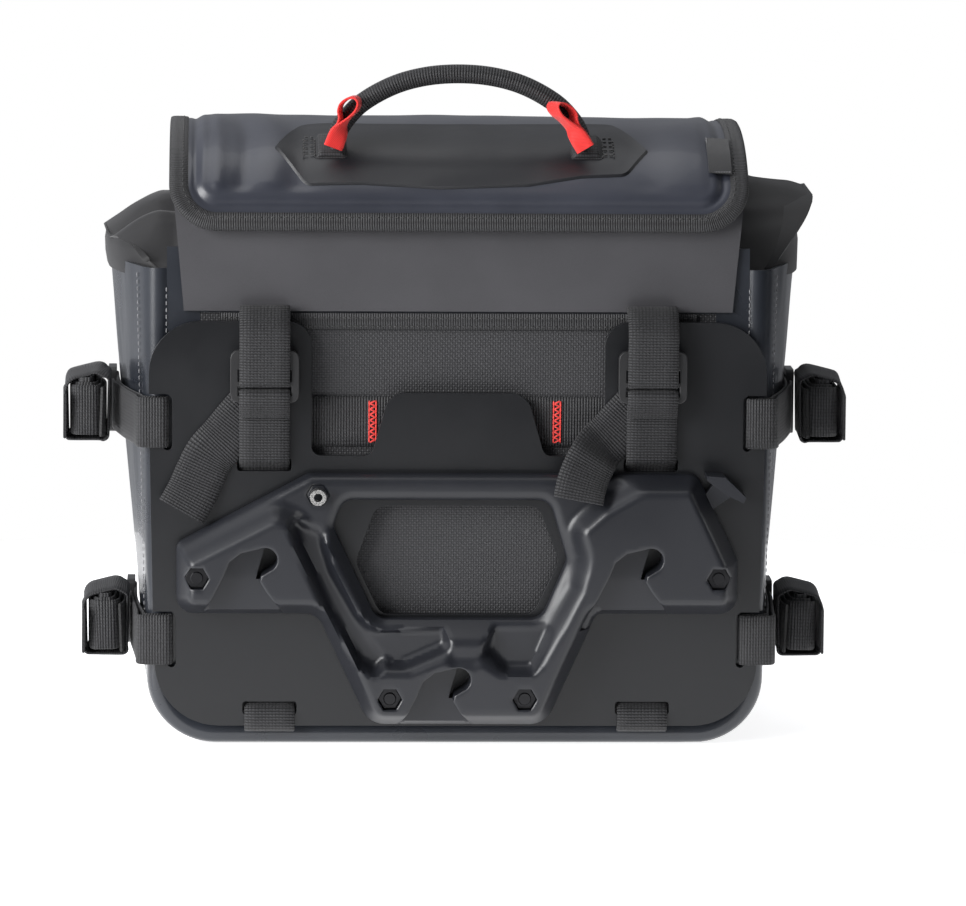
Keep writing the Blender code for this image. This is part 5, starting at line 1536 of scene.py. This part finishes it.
def build_side_strap(name, side, level):
    """One strap round the plate's edge and back along the side wall, to its rolled end and its clasp."""
    made, web = finishes(), bpy.context.scene.pannier_webbing
    edge = plate_half(level)
    slot_x = edge - 11.5 * MM + 2.2 * MM
    back_run = LAYER_OUT - WEB / 2
    front_run = PLATE_FRONT - GAP - WEB / 2
    high = level + web.width / 2
    roll_start, roll_end = BACK_Y + 25 * MM, BACK_Y + 73 * MM

    def beside(y, layer=0):
        return side_wall(y, high) + 2 * GAP + WEB / 2 + layer * (WEB + 2 * GAP)

    inner = beside(roll_end, 2) + 1.8 * MM - WEB / 2
    far, near = roll_end + 24 * MM, BACK_Y + 6 * MM
    under = [
        *((beside(y), y) for y in (far, roll_end - 20 * MM, roll_start, near)),
        (HALF_BACK + 1.6 * MM, BACK_Y - 0.6 * MM), (HALF_BACK - 2.2 * MM, back_run),
        (slot_x + 2 * MM, back_run),
        (slot_x, (PLATE_BACK + PLATE_FRONT) / 2), (slot_x + 2 * MM, front_run), (edge - 1 * MM, front_run),
        (HALF_BACK + 4.2 * MM, front_run + 2 * MM), (beside(near, 1) + 0.8 * MM, near),
        *((beside(y, 1), y) for y in (roll_start, roll_end - 20 * MM, roll_end - 6 * MM)),
    ]
    path = smooth_path([(side * x, y, level) for x, y in under])
    band(f"side_webbing_{name}", path, (0, 0, 1), web.width, web.thickness, made["webbing"],
         stands_for=[f"side_strap_{name}"], slot="webbing")
    build_roll(made, name, side, level, inner, roll_start, roll_end)
    build_keeper(made, name, side, level, inner, (roll_start + roll_end) / 2 - 4 * MM)
    node = f"side_buckle_{name}"
    softened_copy(f"side_clasp_{name}", node, made["buckle"], 1.1 * MM, "bag", 3)


def build_roll(made, name, side, level, inner, start, end):
    """The strap's spare end, rolled flat, with its inner turns pushed up."""
    web = bpy.context.scene.pannier_webbing
    thick, turns = 20.6 * MM, 3.6
    middle_x, middle_y = inner + 8.9 * MM, (start + end) / 2
    path = []
    for k in range(260):
        turn = 2 * math.pi * turns * k / 259 + 0.4
        share = k / 259
        across = (1.4 * MM + (thick / 2 - 1.4 * MM - WEB / 2) * share) * (1 + 0.06 * ripple(turn, level * 90))
        down = ((end - start) / 2 - 2 * MM) * (0.70 + 0.30 * share)
        c, s = math.cos(turn), math.sin(turn)
        x = middle_x + across * math.copysign(abs(c) ** 0.45, c) + 0.8 * MM * ripple(share * 9, level * 50)
        y = middle_y + down * math.copysign(abs(s) ** 0.6, s)
        rise = 5.5 * MM * (1 - share) ** 1.2 + 1.0 * MM * ripple(turn * 0.7, level * 70)
        path.append((side * x, y, level + rise))
    thin = web.thickness * 0.9
    band(f"rolled_end_{name}", path, (0, 0, 1), web.width, thin, made["webbing"], slot="webbing")
    out = inner + 20.6 * MM
    flap = [(side * (out + a * MM), start + b * MM, level + c * MM)
            for a, b, c in ((-1.2, 30, 0.5), (-0.2, 18, 0), (-0.4, 6, -1), (-0.6, 1, -1.5))]
    flap = smooth_path(flap)
    band(f"loose_end_{name}", flap, (0, 0.15, 1), web.width * 0.92, thin, made["webbing"], slot="webbing")


def build_keeper(made, name, side, level, inner, middle):
    """The band that holds the rolled end, slack above it."""
    web = bpy.context.scene.pannier_webbing
    low, high = level - web.width / 2, level + web.width / 2
    x0, x1 = inner - 1.4 * MM, inner + 19.2 * MM
    top = high + 8 * MM
    ring = rounded(
        [(x0, low - 0.2 * MM, 2 * MM), (x1, low - 0.2 * MM, 2 * MM), (x1 + 0.6 * MM, top - 4 * MM, 6 * MM),
         (x0 + 5 * MM, top, 6 * MM), (x0 - 0.6 * MM, top - 3 * MM, 2.5 * MM)], 6
    )
    ring = divided(ring, 1.5 * MM)
    path = np.array([(side * x, middle + 1.5 * MM * ripple(x * 90, z * 60), z) for x, z in [*ring, ring[0]]])
    band(
        f"keeper_{name}", path, (0, 1, 0.12), 24 * MM, 1.4 * MM, made["keeper"],
        stands_for=[f"roll_keeper_{name}"], slot="webbing",
    )


# ------------------------------------------------------------------ stage


def soft_light(name, place, target, size, power, colour=(1, 1, 1)):
    data = bpy.data.lights.new(name, "AREA")
    data.shape, data.size, data.size_y = "RECTANGLE", size[0], size[1]
    data.energy, data.color = power, colour
    lamp = bpy.data.objects.new(name, data)
    lamp.location = place
    lamp.rotation_euler = (Vector(target) - Vector(place)).to_track_quat("-Z", "Y").to_euler()
    bpy.context.scene.collection.objects.link(lamp)


def build_stage():
    """A pale floor disc, the camera, three softboxes and the graded world."""
    floor_radius = 0.62
    disc = [(x, y, 0) for x, y in arc((0, 0), floor_radius, 0, 357, 119)]
    floor = piece("floor", disc, [tuple(range(len(disc)))], floor_finish(), body=None)
    floor.location.z = -0.0005
    scene = bpy.context.scene
    target = Vector((0.0126, -0.09, 0.1475))
    azimuth, elevation, away = math.radians(-2.5), math.radians(8), 3.0
    flat = Vector((math.sin(azimuth), -math.cos(azimuth), 0))
    back = flat * math.cos(elevation) + Vector((0, 0, math.sin(elevation)))
    data = bpy.data.cameras.new("camera")
    data.lens, data.sensor_width = 225, 36
    camera = bpy.data.objects.new("camera", data)
    roll = Matrix.Rotation(math.radians(0.5), 4, "Z")
    turn = (-back).to_track_quat("-Z", "Y").to_matrix().to_4x4() @ roll
    camera.matrix_world = Matrix.Translation(target + back * away) @ turn
    scene.collection.objects.link(camera)
    scene.camera = camera

    soft_light("left softbox", (-1.7, -1.25, 0.8), (0, 0, 0.15), (1.2, 1.4), 62)
    soft_light("right softbox", (1.8, 0.1, 0.8), (0, 0, 0.2), (0.6, 1.2), 4)
    soft_light("top softbox", (-0.3, 0.1, 1.8), (0, 0, 0.2), (1.6, 1.2), 9)
    build_world()
    scene.view_settings.view_transform = "Standard"


def build_world():
    """Sky that brightens towards one side, seen as plain white by the camera."""
    world = bpy.data.worlds.new("studio")
    world.use_nodes = True
    tree = world.node_tree

    def add(kind, **settings):
        made = tree.nodes.new(kind)
        for key, value in settings.items():
            setattr(made, key, value)
        return made

    way, level = add("ShaderNodeTexCoord"), add("ShaderNodeMapRange")
    dot = add("ShaderNodeVectorMath", operation="DOT_PRODUCT")
    dot.inputs[1].default_value = (-0.60, 0.22, 0.26)
    level.inputs["From Min"].default_value, level.inputs["From Max"].default_value = -0.5, 0.5
    level.inputs["To Min"].default_value, level.inputs["To Max"].default_value = 0.0, 0.52
    sky, seen = tree.nodes["Background"], add("ShaderNodeBackground")
    sky.inputs[0].default_value = (0.93, 0.95, 1.0, 1)
    seen.inputs[0].default_value, seen.inputs[1].default_value = (1, 1, 1, 1), 1.0
    ray, mix = add("ShaderNodeLightPath"), add("ShaderNodeMixShader")
    for start, end in (
        (way.outputs["Generated"], dot.inputs[0]), (dot.outputs["Value"], level.inputs["Value"]),
        (level.outputs[0], sky.inputs[1]), (ray.outputs["Is Camera Ray"], mix.inputs[0]),
        (sky.outputs[0], mix.inputs[1]), (seen.outputs[0], mix.inputs[2]),
        (mix.outputs[0], tree.nodes["World Output"].inputs[0]),
    ):
        tree.links.new(start, end)
    bpy.context.scene.world = world


def floor_finish():
    finish = Finish("Pale floor", (0.93, 0.93, 0.94), 0.6, specular=0.2)
    finish.shader.inputs["Emission Color"].default_value = (1, 1, 1, 1)
    finish.shader.inputs["Emission Strength"].default_value = 0.8
    cloudy = finish.speckle(finish.place(), 3, 2)
    return finish.wire(base_color=finish.blended(cloudy, (0.92, 0.92, 0.93), (0.95, 0.95, 0.96)))


def build_boards():
    """Boards hidden inside the walls keep their shape and get their finish."""
    for node in ("back_stiffener", "base_stiffener"):
        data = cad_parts[node].data
        data.materials.clear()
        data.materials.append(finishes()["board"])


# ------------------------------------------------------------------ operators


class PANNIER_OT_walls(bpy.types.Operator):
    """Build the side walls, base, back, front and stiffening boards"""

    bl_idname = "pannier.walls"
    bl_label = "Bag walls"

    def execute(self, context):
        build_walls()
        build_boards()
        return {"FINISHED"}


class PANNIER_OT_collar(bpy.types.Operator):
    """Build the gathered roll-top collar and the rolled closure"""

    bl_idname = "pannier.collar"
    bl_label = "Roll-top collar"

    def execute(self, context):
        build_collar()
        return {"FINISHED"}


class PANNIER_OT_lid(bpy.types.Operator):
    """Build the lid, its binding, patch, label and tapes, and the storm panel"""

    bl_idname = "pannier.lid"
    bl_label = "Lid and storm panel"

    def execute(self, context):
        build_lid()
        return {"FINISHED"}


class PANNIER_OT_handle(bpy.types.Operator):
    """Build the handle, its feet and its pull tabs"""

    bl_idname = "pannier.handle"
    bl_label = "Handle"

    def execute(self, context):
        build_handle()
        return {"FINISHED"}


class PANNIER_OT_plate(bpy.types.Operator):
    """Build the adapter plate"""

    bl_idname = "pannier.plate"
    bl_label = "Adapter plate"

    def execute(self, context):
        build_plate()
        return {"FINISHED"}


class PANNIER_OT_bracket(bpy.types.Operator):
    """Build the carrier bracket, its bolts, insert and lock lever"""

    bl_idname = "pannier.bracket"
    bl_label = "Carrier bracket"

    def execute(self, context):
        build_bracket()
        return {"FINISHED"}


class PANNIER_OT_straps(bpy.types.Operator):
    """Build the upright straps, side straps, buckles and pocket webbing"""

    bl_idname = "pannier.straps"
    bl_label = "Straps and buckles"

    def execute(self, context):
        build_upright_straps()
        build_pocket_trim()
        build_side_straps()
        return {"FINISHED"}


class PANNIER_OT_stage(bpy.types.Operator):
    """Build the floor, the lights and the camera"""

    bl_idname = "pannier.stage"
    bl_label = "Stage"

    def execute(self, context):
        build_stage()
        return {"FINISHED"}


OPERATORS = (
    PANNIER_OT_walls,
    PANNIER_OT_collar,
    PANNIER_OT_lid,
    PANNIER_OT_handle,
    PANNIER_OT_plate,
    PANNIER_OT_bracket,
    PANNIER_OT_straps,
    PANNIER_OT_stage,
)


class PANNIER_PT_panel(bpy.types.Panel):
    """Lists the bag's settings and the pieces that can be built"""

    bl_label = "Pannier bag"
    bl_idname = "PANNIER_PT_panel"
    bl_space_type = "VIEW_3D"
    bl_region_type = "UI"
    bl_category = "Pannier"

    def draw(self, context):
        for group in ("pannier_fabric", "pannier_webbing", "pannier_hardware"):
            settings = getattr(context.scene, group)
            box = self.layout.box()
            for name in settings.__annotations__:
                box.prop(settings, name)
        for operator in OPERATORS:
            self.layout.operator(operator.bl_idname)


GROUPS = (
    ("pannier_fabric", PannierFabric),
    ("pannier_webbing", PannierWebbing),
    ("pannier_hardware", PannierHardware),
)


def register():
    for name, group in GROUPS:
        bpy.utils.register_class(group)
        setattr(bpy.types.Scene, name, bpy.props.PointerProperty(type=group))
    for cls in (*OPERATORS, PANNIER_PT_panel):
        bpy.utils.register_class(cls)


def unregister():
    for cls in reversed((*OPERATORS, PANNIER_PT_panel)):
        bpy.utils.unregister_class(cls)
    for name, group in reversed(GROUPS):
        delattr(bpy.types.Scene, name)
        bpy.utils.unregister_class(group)


def main():
    register()
    bpy.ops.pannier.walls()
    bpy.ops.pannier.collar()
    bpy.ops.pannier.lid()
    bpy.ops.pannier.handle()
    bpy.ops.pannier.plate()
    bpy.ops.pannier.bracket()
    bpy.ops.pannier.straps()
    bpy.ops.pannier.stage()


if __name__ == "__main__":
    main()
